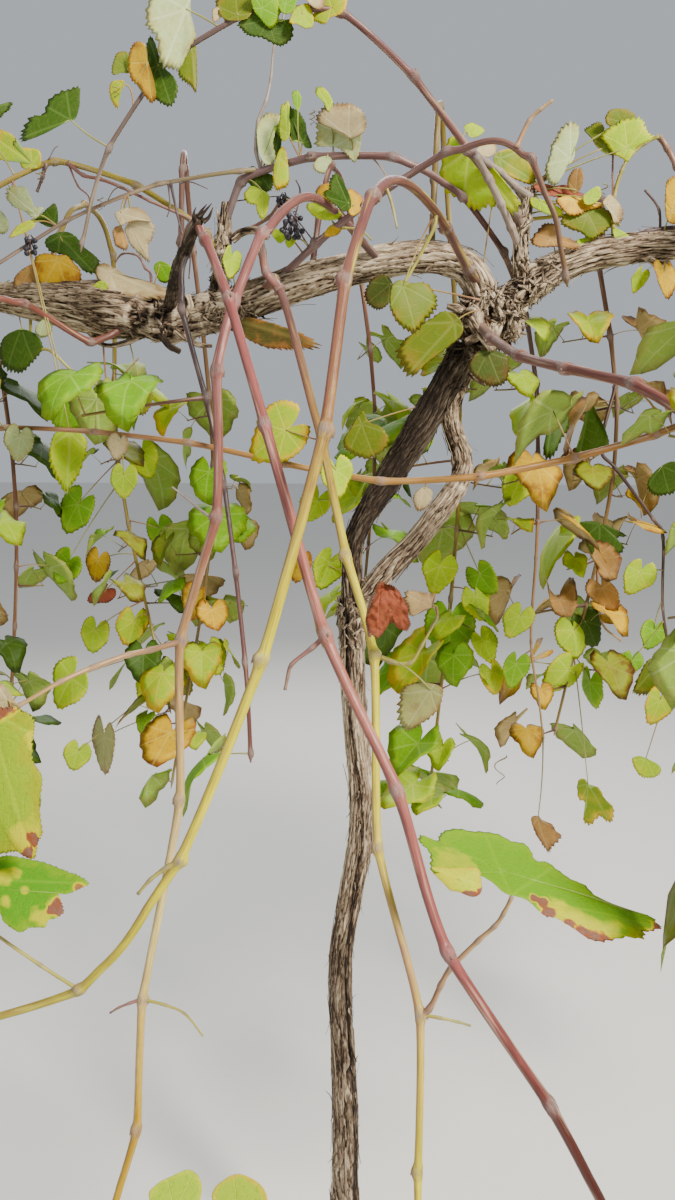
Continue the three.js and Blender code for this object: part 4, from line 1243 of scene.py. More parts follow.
# Canes were moved sideways to the joints of the photograph: what grows from one moves its root with it.
def moveRoot(owner, root):
    route = stems[owner]["route"]
    share = route.nearestShare(root)
    if np.linalg.norm(route.point(share) - root) > 2:
        return root
    return onLine(stems[owner], share)[0]


growFiner()
for grown in growth["leaves"]:
    grown["root"] = moveRoot(grown["owner"], grown["root"])
growth["twigs"] = [(owner, moveRoot(owner, root), *rest) for owner, root, *rest in growth["twigs"]]
ruled = [leaf for leaf in growth["leaves"]
         if leaf["kind"] != "hero" and not isOpen((leaf["foot"] + leaf["tip"]) / 2)]
# The shoots that the plan names are drawn finer, with the twigs that the photograph shows.
drawnFiner = [shoot["to"] for cane in canes.values() for shoot in cane.get("shoots", [])]
growth["twigs"] = [twig for twig in growth["twigs"]
                   if not isOpen(twig[2]) and tuple(twig[2]) not in drawnFiner]
print("with finer twigs:", len(growth["leaves"]), "leaves,", len(ruled), "of them outside the clearings")
leafNodes = list(stems)
slotTable = np.array([sidesOf(tintOf(leaf)) for leaf in ruled])
ruledRows = leafRows(ruled)
dryness = np.array([1.0 if tintOf(leaf) in ("dry", "rust") else 0.0 for leaf in ruled])
leavesPiece = Gather()
makeBlades(leavesPiece, bladePlans["ruled"], ruledRows, formOf(ruledRows, dryness), slotTable)
leavesPiece.build("leaves", bladeFinishes, "leaves", leafNodes)


# Stalks and twigs: thin tubes that bow a little on their way, root + t (foot - root) + bow sin(pi t).
def makeStalks(into, roots, ends, thick, thin, bow, sides=5, steps=5, slot=0):
    t = np.linspace(0, 1, steps)[None, :, None]
    centres = roots[:, None] + t * (ends - roots)[:, None] + np.sin(np.pi * t) * bow[:, None]
    radii = thick[:, None] + (thin - thick)[:, None] * t[..., 0]
    radii = radii * (1 + 0.5 * np.exp(-(t[..., 0] / 0.08) ** 2))
    tubes(into, centres, radii, sides, slot, along=np.broadcast_to(t[..., 0], radii.shape), joint=0.0)


stalkFinishes = [caneFinish("stalk_rosy", ["9a6a50", "a88a4a", "a9a052"]),
                 caneFinish("stalk_olive", ["8e8a42", "9c9a4c", "a3a558"])]
stalksPiece = Gather()
bows = np.stack([0 * ruledRows["mood"], 0 * ruledRows["mood"], 6 * chance(ruledRows["mood"] + 0.9)], -1)
stalkSize = np.linalg.norm(ruledRows["tip"] - ruledRows["foot"], axis=1) / rule["leafLength"]
makeStalks(stalksPiece, ruledRows["root"], ruledRows["foot"], 1.1 * stalkSize, 0.8 * stalkSize, bows,
           slot=(chance(ruledRows["mood"] + 0.8) * 2).astype(int))
stalksPiece.build("stalks", stalkFinishes, "cane", leafNodes)
twigsPiece = Gather()
twigRoots = np.array([twig[1] for twig in growth["twigs"]])
twigEnds = np.array([twig[2] for twig in growth["twigs"]])
twigSizes = np.array([twig[3:] for twig in growth["twigs"]], float)
makeStalks(twigsPiece, twigRoots, twigEnds, twigSizes[:, 0], twigSizes[:, 1],
           6 * (chance(twigSizes[:, 2:] * [[1.3]] + [[0.1, 0.2, 0.3]]) - 0.5), 7, 9)
twigsPiece.build("twigs", [shootFinishes[0]], "cane", leafNodes)
print("foliage made")


# Leaves that the photograph shows one by one. Each row: tint, cane, pixel of its joint, pixel of the
# blade's foot, how far the blade comes forward, and the line round it in pixels. The line is laid on a
# leaning plane through the foot and the blade is filled in between.
# Rows tinted deep or shaded are painted shade: leaves in shade, and dark pieces laid over the shaded parts of the
# leaves beside them.
pictured = [
    ("deep", "sky_arch", (105, 146), (71, 120), 4, "22,136 23,129 31,117 44,114 50,101 61,91 72,88 80,87 80,100 "
     "79,109 75,119 66,121 57,127 46,133 31,139 24,141"),
    ("deep", "yellow_left", (12, 172), (-30, 118), 0, "-35,112 -20,102 0,105 10,102 11,106 6,113 0,119 -15,124"),
    ("turning", "yellow_left", (40, 166), (33, 164), 8, "-8,130 5,131 16,138 14,146 28,148 38,150 41,156 40,166 "
     "33,169 22,168 18,158 12,160 4,161 -6,154"),
    ("pale", "thin_left", (61, 232), (37, 214), 10, "5,195 9,186 17,185 25,187 31,198 33,207 41,207 43,210 35,219 "
     "24,211 14,207 7,200"),
    ("deep", "thin_left", (61, 232), (54, 222), 0, "35,218 44,212 50,205 55,203 58,213 57,224 50,227 40,223"),
    ("turning", "thin_left", (61, 232), (34, 222), 6, "9,238 14,229 24,222 35,219 34,227 22,234"),
    ("pale", "yellow_left", (-10, 190), (-6, 212), 10, "-18,212 -8,208 0,210 6,217 9,224 7,231 0,234 -12,230"),
    ("straw", "thin_left", (133, 208), (121, 213), 12, "115,213 122,209 135,207 144,211 152,221 144,221 135,221 "
     "127,223 121,226 116,219"),
    ("straw", "thin_left", (133, 208), (129, 224), 8, "125,228 133,221 150,222 155,230 152,239 148,248 149,262 "
     "141,256 133,247 127,237"),
    ("dry", "thin_left", (133, 208), (121, 226), 4, "114,228 120,226 124,232 128,244 126,250 117,247 113,237"),
    ("turning", "sky_arch", (130, 105), (123, 84), 6, "109,90 112,82 118,80 124,81 124,86 121,92 118,99 118,109 "
     "113,103 110,97"),
    ("olive", "sky_arch", (140, 91), (127, 68), 0, "112,64 117,54 124,51 128,54 129,66 128,73 121,73 113,75"),
    ("golden", "sky_arch", (140, 91), (147, 62), 14, "128,70 129,53 133,44 140,42 146,46 148,61 154,80 156,96 "
     "151,102 145,96 140,87 132,81"),
    ("deep", "sky_arch", (163, 70), (158, 66), 4, "146,46 150,37 156,45 160,58 165,68 173,76 178,88 175,100 "
     "168,107 160,103 155,97 152,80 148,60"),
    ("pale", "sky_arch", (211, 12), (186, 9), 8, "146,14 149,0 155,-14 170,-20 184,-14 190,-4 191,14 195,30 "
     "196,38 191,46 186,56 180,69 175,72 168,68 161,61 158,43 151,33 146,26"),
    # This olive piece paints the shaded lower part of the pale leaf before it.
    ("olive", "sky_arch", (193, 38), (192, 47), 0, "178,73 186,57 195,44 197,62 196,91 189,85"),
    ("straw", "sky_arch", (221, 14), (219, 10), 0, "212,10 218,7 221,14 218,21 213,21"),
    ("olive", "sky_arch", (228, 18), (238, 15), 6, "216,4 224,-10 238,-16 250,-10 253,8 247,19 234,21 222,18"),
    ("fresh", "sky_arch", (262, 8), (262, 8), 12, "250,-10 262,-18 276,-10 280,8 276,24 270,28 261,20 253,9"),
    ("deep", "sky_arch", (262, 8), (268, 20), 2, "238,24 252,14 268,18 280,22 291,20 292,36 284,46 275,45 262,38 "
     "250,36 243,31"),
    ("fresh", "sky_arch", (286, 6), (286, 4), 10, "277,-8 288,-16 297,-6 295,8 288,14 280,10"),
    ("turning", "sky_arch", (305, 4), (302, 14), 8, "289,20 295,8 308,4 313,14 313,26 306,29 298,25 291,24"),
    ("straw", "sky_arch", (320, 4), (312, 0), 12, "304,-6 318,-14 325,-4 322,9 312,7"),
    ("turning", "sky_arch", (345, 14), (332, 8), 10, "312,20 317,6 326,-8 340,-12 347,0 343,13 330,18 325,24 "
     "316,22"),
    ("pale", "left_arch", (258, 166), (262, 158), 10, "257,126 261,117 268,113 276,114 281,118 279,124 274,127 "
     "275,134 273,143 275,154 275,161 270,165 264,163 259,152 257,140"),
    ("deep", "left_arch", (258, 166), (276, 156), 0, "274,124 281,123 282,136 280,152 275,159 273,143"),
    ("lime", "left_arch", (300, 156), (288, 134), 12, "280,116 281,105 286,102 290,104 288,112 290,125 289,136 "
     "285,141 281,139 279,129"),
    ("deep", "left_arch", (300, 156), (303, 143), 2, "287,104 292,107 298,110 302,116 306,124 307,132 310,140 "
     "312,148 306,148 301,143 295,140 290,141 289,128 286,113"),
    ("fresh", "left_arch", (300, 156), (298, 108), 8, "292,93 297,90 301,96 301,104 298,111 294,106"),
    ("lime", "left_arch", (333, 148), (330, 108), 10, "315,92 317,87 322,87 328,92 333,102 333,108 328,111 "
     "323,102 317,96"),
    ("straw", "left_arch", (352, 152), (350, 137), 14, "317,122 319,113 327,107 336,105 346,104 355,106 362,111 "
     "366,119 366,127 362,134 351,138 340,133 328,127"),
    ("pale", "left_arch", (352, 152), (350, 138), 4, "317,122 334,130 351,138 361,134 361,148 357,159 354,163 "
     "347,156 340,149 330,147 316,146 317,133"),
    ("pale", "left_arch", (328, 150), (326, 158), 6, "313,165 318,158 327,156 332,160 328,167 324,174 315,171"),
    ("deep", "left_arch", (245, 178), (258, 172), 2, "246,173 252,166 262,171 273,176 273,187 266,192 254,190 "
     "249,183"),
    ("lime", "left_arch", (245, 178), (262, 190), 10, "245,192 251,186 262,190 269,195 269,206 266,215 262,220 "
     "257,212 256,205 248,203 244,197"),
    ("turning", "left_arch", (285, 160), (281, 158), 8, "274,166 279,150 284,147 287,155 289,170 289,182 283,189 "
     "276,190 273,180"),
    ("deep", "cross_arch", (350, 205), (348, 203), 14, "324,192 329,189 329,180 335,173 341,178 346,187 350,196 "
     "351,207 345,212 338,208 331,202 325,197"),
    ("golden", "cross_arch", (345, 215), (333, 198), 2, "315,195 319,186 327,183 336,186 340,196 334,204 322,204"),
    ("golden", "cross_arch", (365, 212), (352, 206), 4, "348,189 355,191 364,199 363,208 357,215 350,215 347,205"),
    ("lime", "cross_arch", (330, 222), (326, 212), 8, "306,205 316,202 330,205 341,213 337,220 322,220 311,214"),
    ("lime", "cross_arch", (290, 240), (280, 232), 4, "271,231 284,230 285,240 278,243"),
    ("lime", "cross_arch", (300, 238), (292, 240), 6, "285,241 290,235 296,241 289,248"),
    ("golden", "cross_arch", (330, 224), (332, 227), 6, "325,232 331,225 341,227 339,234 331,237 325,237"),
    ("lime", "sky_arch", (475, 154), (470, 150), -14, "441,178 442,160 446,145 450,137 459,136 466,146 471,157 "
     "478,160 488,162 500,175 509,186 516,195 520,203 514,212 507,209 500,200 494,207 488,205 480,208 473,208 "
     "465,204 455,197 446,190"),
    ("lime", "sky_arch", (466, 138), (468, 134), -10, "464,127 470,123 478,125 484,130 479,136 470,137"),
    ("straw", "left_arch", (470, 196), (480, 152), 0, "477,148 486,138 494,142 497,152 490,157 479,155"),
    ("rimmed", "right_red", (522, 191), (500, 158), 12, "493,158 500,151 510,149 520,152 527,158 534,168 537,177 "
     "533,184 525,183 515,179 505,173 496,166"),
    ("pale", "spur_right", (530, 190), (571, 159), 10, "544,168 549,155 552,145 556,138 561,128 570,122 578,126 "
     "579,136 575,143 575,154 572,162 566,168 562,177 555,186 549,184 546,176"),
    ("olive", "spur_right", (533, 186), (603, 148), 0, "584,130 590,125 598,122 604,126 605,135 611,145 613,155 "
     "604,153 596,146 591,138"),
    ("lime", "spur_right", (533, 186), (628, 148), 10, "601,136 608,128 615,124 622,120 634,118 642,119 645,126 "
     "649,133 654,137 645,143 637,147 633,153 628,162 621,158 613,153 607,144"),
    ("olive", "spur_right", (533, 186), (622, 122), 2, "605,118 609,111 618,109 628,110 636,116 633,121 620,122 "
     "611,126 606,124"),
    ("rust", "spur_right", (532, 195), (546, 188), 6, "533,186 542,183 555,187 566,185 576,191 584,194 580,199 "
     "565,199 552,197 540,193"),
    ("golden", "spur_right", (532, 200), (572, 200), 12, "556,199 570,195 582,197 592,202 604,204 598,209 588,211 "
     "580,215 568,215 559,207"),
    ("lime", "spur_right", (528, 200), (540, 201), 10, "530,198 540,199 552,203 562,210 562,216 550,215 540,211 "
     "532,206"),
    ("dry", "spur_right", (532, 195), (576, 190), 14, "568,178 574,170 582,169 584,178 581,188 575,194 568,188"),
    ("lime", "spur_right", (532, 195), (590, 198), 16, "583,197 590,190 599,187 601,196 595,203 586,205"),
    ("straw", "spur_right", (530, 205), (608, 204), 12, "603,202 609,195 614,197 620,204 623,212 621,221 615,224 "
     "611,214 606,207"),
    ("olive", "spur_right", (528, 215), (588, 214), 6, "560,223 566,213 580,211 590,207 602,207 612,214 614,222 "
     "607,231 598,237 589,240 580,233 569,229"),
    ("lime", "arm_right", (590, 246), (586, 240), 12, "577,240 586,238 595,240 594,248 585,249 578,246"),
    ("lime", "arm_right", (620, 242), (620, 234), 12, "613,228 622,231 631,238 624,242 615,239"),
    ("dry", "arm_right", (548, 250), (552, 238), 14, "531,241 540,228 548,223 557,226 561,236 570,239 579,246 "
     "572,250 560,247 548,248 537,247"),
    ("golden", "arm_right", (660, 236), (672, 212), 16, "665,192 669,180 682,177 692,190 690,210 679,223 667,220"),
    ("olive", "yellow_long", (444, 205), (403, 286), 10, "389,301 392,286 400,280 412,283 425,283 436,296 436,307 "
     "429,317 418,333 408,331 397,323 390,311"),
    ("shaded", "head", (480, 300), (390, 284), 2, "365,291 374,278 386,275 393,285 391,300 380,309 369,305"),
    ("olive", "head", (480, 310), (455, 322), 10, "398,353 404,340 418,326 432,318 444,311 456,315 463,326 461,336 "
     "449,347 436,357 424,366 414,375 404,369"),
    ("shaded", "head", (486, 318), (488, 352), 6, "469,366 477,352 490,349 505,355 510,370 503,383 490,387 "
     "477,379"),
    ("dusk", "arm_left_end", (196, 318), (236, 320), 12, "232,318 246,317 262,320 276,324 290,329 304,334 316,345 "
     "308,350 296,350 284,349 270,348 256,344 244,337"),
    ("olive", "stem_left", (430, 400), (362, 424), 16, "344,439 351,428 358,416 364,411 369,422 383,428 389,440 "
     "381,453 368,459 355,455 345,447"),
    ("fresh", "yellow_left", (10, 176), (66, 396), 8, "46,401 54,393 68,390 81,395 87,408 85,420 78,429 66,431 "
     "54,425 47,413"),
    ("lime", "yellow_left", (10, 176), (70, 432), 14, "51,441 59,430 74,429 87,440 85,459 75,479 66,492 57,478 "
     "49,460"),
    ("olive", "arm_left_end", (120, 322), (140, 384), 4, "123,396 130,384 142,379 151,388 153,402 145,415 134,413 "
     "125,406"),
    ("straw", "sagging", (425, 478), (424, 489), 2, "413,497 418,490 425,487 432,491 432,499 427,507 419,511 "
     "414,505"),
    ("sage", "green_middle", (376, 655), (431, 690), 10, "397,701 403,688 416,683 430,683 443,689 441,704 431,717 "
     "418,725 407,731 399,722"),
    ("peach", "peach_stalk", (437, 615), (432, 607), 2, "406,591 413,590 418,591 423,592 429,594 436,594 434,598 "
     "433,601 434,605 431,608 427,609 422,611 416,615 411,616 408,611 406,604 403,599"),
    ("golden", "arm_left_end", (60, 296), (58, 260), 16, "35,259 44,253 56,255 66,255 73,262 80,270 81,281 78,289 "
     "66,293 52,293 41,287 35,277"),
    ("dry", "arm_left_end", (30, 298), (30, 270), 12, "15,277 24,268 34,265 39,280 36,291 24,291 16,287"),
    ("straw", "arm_left_end", (110, 296), (110, 272), 20, "95,268 104,263 116,269 130,277 148,281 165,288 167,297 "
     "150,299 134,299 120,297 107,289 97,278"),
    ("lime", "arm_left_end", (110, 298), (104, 286), 24, "85,293 92,286 100,281 108,284 105,292 97,299 87,299"),
    ("fresh", "arm_left_end", (150, 296), (160, 264), 8, "154,266 160,261 168,264 174,270 171,281 162,283 156,275"),
    ("deep", "arm_left_end", (95, 296), (60, 236), 0, "45,241 54,234 66,232 76,237 85,248 93,254 99,262 95,273 "
     "84,271 76,263 62,255 49,251"),
    ("deep", "arm_left_end", (110, 300), (112, 320), 4, "88,334 96,322 112,319 128,322 140,330 136,339 118,338 "
     "100,340"),
    ("deep", "arm_left_end", (20, 300), (22, 328), 2, "0,346 8,334 22,330 36,334 43,346 36,360 24,370 12,372 "
     "2,362"),
    ("pale", "arm_left_end", (40, 300), (45, 318), 12, "36,326 44,320 52,322 51,333 43,338 36,335"),
    ("straw", "edge_stalk", (10, 706), (8, 700), 2, "0,683 9,690 16,701 24,713 30,727 21,733 10,730 0,722 -10,710 "
     "-6,696"),
    ("olive", "right_hang", (668, 650), (662, 660), 6, "634,688 640,672 648,660 660,659 673,670 674,681 666,690 "
     "655,691 645,695 635,694"),
    ("lime", "right_hang", (674, 672), (646, 758), 6, "632,759 639,756 648,759 660,766 660,774 652,778 642,777 "
     "635,769"),
    ("rimmed", "back_13", (573, 655), (588, 784), 12, "590,789 598,787 606,800 614,808 613,820 606,821 600,816 "
     "590,824 583,820 587,805 578,798 578,781 585,779"),
    ("dry", "thin_hang", (543, 737), (538, 818), 8, "531,818 539,816 544,823 551,823 556,831 562,837 552,847 "
     "548,852 541,844 535,831"),
    ("deep", "back_13", (602, 530), (600, 524), 4, "574,525 588,521 604,524 626,535 617,538 624,548 614,558 "
     "601,561 590,555 585,545 578,535"),
    ("deep", "left_arch", (538, 430), (556, 394), 10, "544,399 556,391 565,399 569,425 562,441 552,457 543,451 "
     "549,425 556,418 546,408"),
    ("deep", "back_13", (615, 400), (590, 404), 8, "591,402 598,415 606,431 608,447 591,457 575,456 582,434 "
     "585,415"),
    ("deep", "right_hang", (640, 505), (662, 466), 20, "647,483 660,467 675,462 682,480 675,493 656,496"),
]


# Smaller leaves that it shows, in the shape of the rule: tint, part, pixels of the joint, the foot and the
# tip, how far the blade comes forward, and the part of its width that shows.
placed = [
    ("turning", "green_middle", (322, 440), (286, 430), (244, 458), -30, 0.9),
    ("lime", "green_middle", (322, 440), (336, 470), (340, 500), -20, 0.9),
    ("pale", "sagging", (20, 428), (20, 437), (16, 463), 6, 0.9),
    ("straw", "sagging", (120, 434), (119, 442), (115, 462), 6, 0.9),
    ("lime", "sagging", (122, 434), (124, 475), (122, 500), 10, 0.9),
    ("fresh", "back_9", (119, 460), (78, 504), (62, 534), 20, 0.8),
    ("fresh", "back_9", (121, 480), (68, 562), (54, 584), 26, 0.9),
    ("golden", "back_9", (134, 555), (98, 560), (91, 584), 14, 0.8),
    ("rust", "back_9", (136, 560), (104, 592), (88, 604), 12, 0.8),
    ("lime", "back_9", (145, 600), (95, 630), (89, 655), 10, 0.9),
    ("turning", "back_9", (148, 615), (134, 621), (128, 649), 4, 0.9),
    ("lime", "back_9", (158, 652), (72, 678), (52, 709), 20, 0.8),
    ("lime", "back_9", (165, 680), (78, 751), (72, 772), 20, 1.0),
    ("sage", "back_9", (172, 712), (104, 737), (102, 776), 10, 0.45),
    ("lime", "back_9", (165, 672), (150, 676), (140, 700), 8, 0.7),
    ("olive", "back_9", (160, 660), (176, 668), (184, 700), 6, 0.8),
    ("golden", "back_10", (205, 590), (196, 596), (188, 622), 10, 0.8),
    ("lime", "back_10", (200, 640), (212, 650), (222, 676), 10, 0.9),
    ("fresh", "right_hang", (664, 620), (632, 660), (628, 680), 4, 0.9),
    ("fresh", "right_hang", (663, 600), (654, 630), (648, 652), 2, 0.9),
    ("lime", "right_hang", (663, 570), (640, 572), (628, 598), 12, 0.9),
    ("turning", "right_hang", (670, 662), (660, 700), (652, 728), 8, 0.8),
    ("fresh", "back_13", (573, 655), (590, 682), (588, 712), 8, 0.6),
    ("lime", "back_13", (575, 650), (568, 670), (546, 696), 12, 0.8),
    ("lime", "back_13", (585, 615), (574, 630), (580, 662), 14, 0.9),
    ("deep", "back_13", (585, 615), (586, 622), (598, 648), 2, 0.9),
    ("dry", "back_13", (590, 595), (602, 588), (616, 614), 20, 0.9),
    ("lime", "back_12", (455, 560), (440, 566), (428, 596), 14, 0.9),
    ("fresh", "back_12", (450, 600), (450, 622), (448, 664), 18, 1.0),
    ("lime", "back_12", (452, 588), (476, 596), (484, 622), 10, 0.9),
    ("lime", "back_12", (448, 616), (482, 640), (494, 664), 10, 0.8),
    ("fresh", "back_12", (458, 520), (480, 574), (494, 598), 12, 0.9),
    ("turning", "back_12", (440, 690), (492, 672), (500, 696), 14, 0.8),
    ("lime", "back_11", (369, 550), (330, 562), (318, 590), 14, 0.9),
    ("golden", "back_11", (366, 580), (300, 560), (292, 584), 20, 0.8),
    ("lime", "back_11", (372, 500), (318, 500), (306, 526), 16, 0.9),
    ("lime", "back_9", (119, 450), (142, 452), (150, 480), 8, 0.9),
    ("fresh", "back_9", (128, 520), (160, 528), (168, 556), 8, 0.8),
    ("lime", "arm_left_arch", (232, 284), (232, 258), (228, 280), 26, 0.7),
    ("lime", "thin_hang", (534, 610), (520, 616), (508, 640), 10, 0.9),
    ("fresh", "thin_hang", (532, 650), (516, 664), (510, 690), 10, 0.8),
    ("lime", "left_arch", (538, 470), (520, 480), (508, 508), 14, 0.9),
    ("golden", "arm_right", (668, 254), (664, 272), (670, 300), 14, 0.6),
    ("lime", "arm_right", (640, 258), (640, 276), (632, 294), 10, 0.7),
]


def closedLine(points, count):  # a smooth closed line through points, read at evenly spaced places
    n = len(points)
    place = np.arange(count) / count * n
    i, w = place.astype(int), (place % 1)[:, None]
    p0, p1, p2, p3 = (points[(i + k - 1) % n] for k in range(4))
    cubic = 2 * p0 - 5 * p1 + 4 * p2 - p3 + w * (3 * (p1 - p2) + p3 - p0)
    return p1 + 0.5 * w * (p2 - p0 + w * cubic)


midway = 0.6


# Fills in a blade between a middle point C, a line M midway out and its edge E: the parabola
# through the three. Teeth and slow waves make the edge uneven, and folds and puckers lift the blade.
# The veins are laid out from the foot, with y towards the edge's point that is furthest from it.
def fillBlade(into, plan, foot, centre, edge, middle, slots, n, tooth, crumple, pucker, dead=None, lay=None):
    out = unit(np.cross(edge - centre, np.roll(edge, -1, axis=0) - centre).sum(axis=0))
    if out @ (eye - centre) < 0:
        out = -out
    else:
        edge, middle = edge[::-1], middle[::-1]
    count = plan.angles
    rim, mid = closedLine(edge, count), closedLine(middle, count)
    away = np.linalg.norm(rim - centre, axis=1)
    size = away.max()
    order = np.arange(count)
    turn = order / count
    saw = tooth * np.where(order % 2, 1.0, -1.0) * (0.4 + 1.2 * chance(order + n))
    uneven = 0.03 * ripple(9 * turn, 0 * turn, 9, n) + 0.02 * ripple(17 * turn, 0 * turn, 17, n + 1)
    rim = rim + (rim - centre) * (uneven + saw * smooth(away / size * 2.5))[:, None]
    u = plan.ring[:, None, None]
    shell = (centre * (u - midway) * (u - 1) / midway - mid * u * (u - 1) / (midway * (1 - midway))
             + rim * u * (u - midway) / (1 - midway))
    if lay is not None:
        shell = lay(shell, u)
    tip = rim[np.linalg.norm(rim - foot, axis=1).argmax()]
    forward, reach = unit(tip - foot), np.linalg.norm(tip - foot)
    crosswise = unit(np.cross(forward, out))
    x, y = (shell - foot) @ crosswise / reach, (shell - foot) @ forward / reach
    near = np.minimum(np.abs(x), np.minimum(*[np.abs(np.abs(x) * np.cos(a) - y * np.sin(a))
                                              for a in np.radians(veinAngles)]))
    lift = pucker * size * np.minimum(near * 6, 1) * u[..., 0]
    lumpy = lumps(shell, size * 0.45, n) + 0.5 * lumps(shell, size * 0.2, n + 4)
    if crumple > 0.1:
        lumpy = lumpy + 1.2 * np.abs(lumps(shell, size * 0.3, n + 7)) + 0.4 * lumps(shell, size * 0.1, n + 9)
    lift = lift + crumple * size * u[..., 0] * lumpy
    shell = shell + lift[..., None] * out
    upper = np.concatenate([centre[None], shell.reshape(-1, 3)])
    points = np.concatenate([upper, lowerSide(plan, upper[None], drawnThick)[0]])
    start = [-(foot - centre) @ crosswise / reach, -(foot - centre) @ forward / reach, 0]
    blade = np.vstack([start, np.stack([x.ravel(), y.ravel(), plan.r[1:]], -1)])
    sides = np.array(slots)
    more = {} if dead is None else dict(dead=burntParts(points, dead))
    into.add(points, plan.quads, plan.tris, sides[plan.quadSide], sides[plan.triSide],
             blade=np.concatenate([blade, blade[:plan.inner]]), **more)


# How dead the points of a blade are, from circles in the photograph (pixel, radius, strength): the
# strength within 0.6 of a radius, and none beyond 1.6, with an edge that lumps make ragged.
def burntParts(points, circles):
    pixels = seen(points)
    burnt, ragged = np.zeros(len(points)), 0.45 * lumps(points, 7, 3) + 0.2 * lumps(points, 3, 4)
    for x, y, radius, strength in circles:
        away = np.hypot(pixels[:, 0] - x, pixels[:, 1] - y) / radius
        burnt = np.maximum(burnt, strength * smooth(1.6 - away + ragged))
    return burnt


def pixelsOf(line):  # "x,y x,y" as an array of pixels
    return np.array([pair.split(",") for pair in line.split()], float)


def rootOf(name, pixel):  # the point of a part that lies next to a pixel
    if name == "head":
        return spot(pixel, headFront)
    if name in oldWood or name in drawnWays:
        route = drawnWays[name] if name in drawnWays else Route(oldWood[name]["way"])
        return route.point(route.shareAtPixel(pixel))
    centres = stems["leaves_" + name]["line"][1]
    return centres[np.linalg.norm(seen(centres) - pixel, axis=1).argmin()]


drawnWays = {}  # the routes of drawn twigs that carry drawn leaves
drawnStalks = []  # the root and foot of the stalk of each drawn leaf
headFront = -36.0


drawnLook = dict(lean=(0.9, 0.7), bow=0.006, hollow=0.1, pucker=0.012, fresh=dict(tooth=0.035, crumple=0.015),
                 dead=dict(tooth=0.045, crumple=0.05))
deadTints = ("rust", "dry", "straw", "peach", "dusk", "sage")


def makePictured():
    into, look = Gather(), drawnLook
    for n, (tint, cane, joint, footPixel, forward, line) in enumerate(pictured):
        root = rootOf(cane, joint)
        foot = spot(footPixel, root[1] - forward)
        pixels = pixelsOf(line)
        lean = look["lean"] * (chance([n + 0.5, n + 0.7]) - 0.5)
        bow = look["bow"] * (chance(n + 0.9) - 0.6)
        apart = pixels - footPixel
        depth = foot[1] + apart @ lean - bow * (apart ** 2).sum(axis=1)
        edge = spot(pixels, depth)
        out = edge - foot
        hollow = look["hollow"] * (chance(n + 0.2) - 0.3) * np.linalg.norm(out, axis=1)[:, None]
        state = "dead" if tint in deadTints else "fresh"
        fillBlade(into, bladePlans["seen"], foot, foot, edge, foot + midway * out - hollow * gaze,
                  sidesOf(tint), n, pucker=look["pucker"], **look[state])
        drawnStalks.append((root, foot))
    into.build("leaves_seen", bladeFinishes, "leaves", leafNodes)


def makePlaced():
    leaves = []
    for n, (tint, part, joint, footPixel, tipPixel, forward, shown) in enumerate(placed):
        root = rootOf(part, joint)
        foot = spot(footPixel, root[1] - forward)
        tip = spot(tipPixel, foot[1] + 12 * (chance(n + 0.1) - 0.6))
        towards = unit(eye - foot)
        aside = np.cross(unit(tip - foot), towards) * (1 if chance(n + 0.3) < 0.5 else -1)
        face = shown * towards + np.sqrt(1 - shown ** 2) * aside
        leaves.append(dict(root=root, foot=foot, tip=tip, face=face, mood=7000 + n, tint=tint))
        drawnStalks.append((root, foot))
    rows = leafRows(leaves)
    into = Gather()
    dry = np.array([1.0 if leaf["tint"] in ("dry", "rust") else 0.0 for leaf in leaves])
    slots = np.array([sidesOf(leaf["tint"]) for leaf in leaves])
    makeBlades(into, bladePlans["seen"], rows, 0.6 * formOf(rows, dry), slots)
    into.build("leaves_placed", bladeFinishes, "leaves", leafNodes)


drawnStalkLook = dict(thick=1.2, thin=0.8, aside=6, up=8, sides=7, steps=12)


def makeDrawnStalks():
    into, look = Gather(), drawnStalkLook
    roots, feet = (np.array(ends) for ends in zip(*drawnStalks))
    n = np.arange(len(roots))
    bow = np.stack([look["aside"] * (chance(n + 0.3) - 0.5), 0 * n, look["up"] * (chance(n + 0.6) - 0.2)], -1)
    makeStalks(into, roots, feet, look["thick"] + 0 * n, look["thin"] + 0 * n, bow, look["sides"],
               look["steps"], slot=(chance(n + 0.8) * 2).astype(int))
    into.build("stalks_seen", stalkFinishes, "cane", leafNodes)


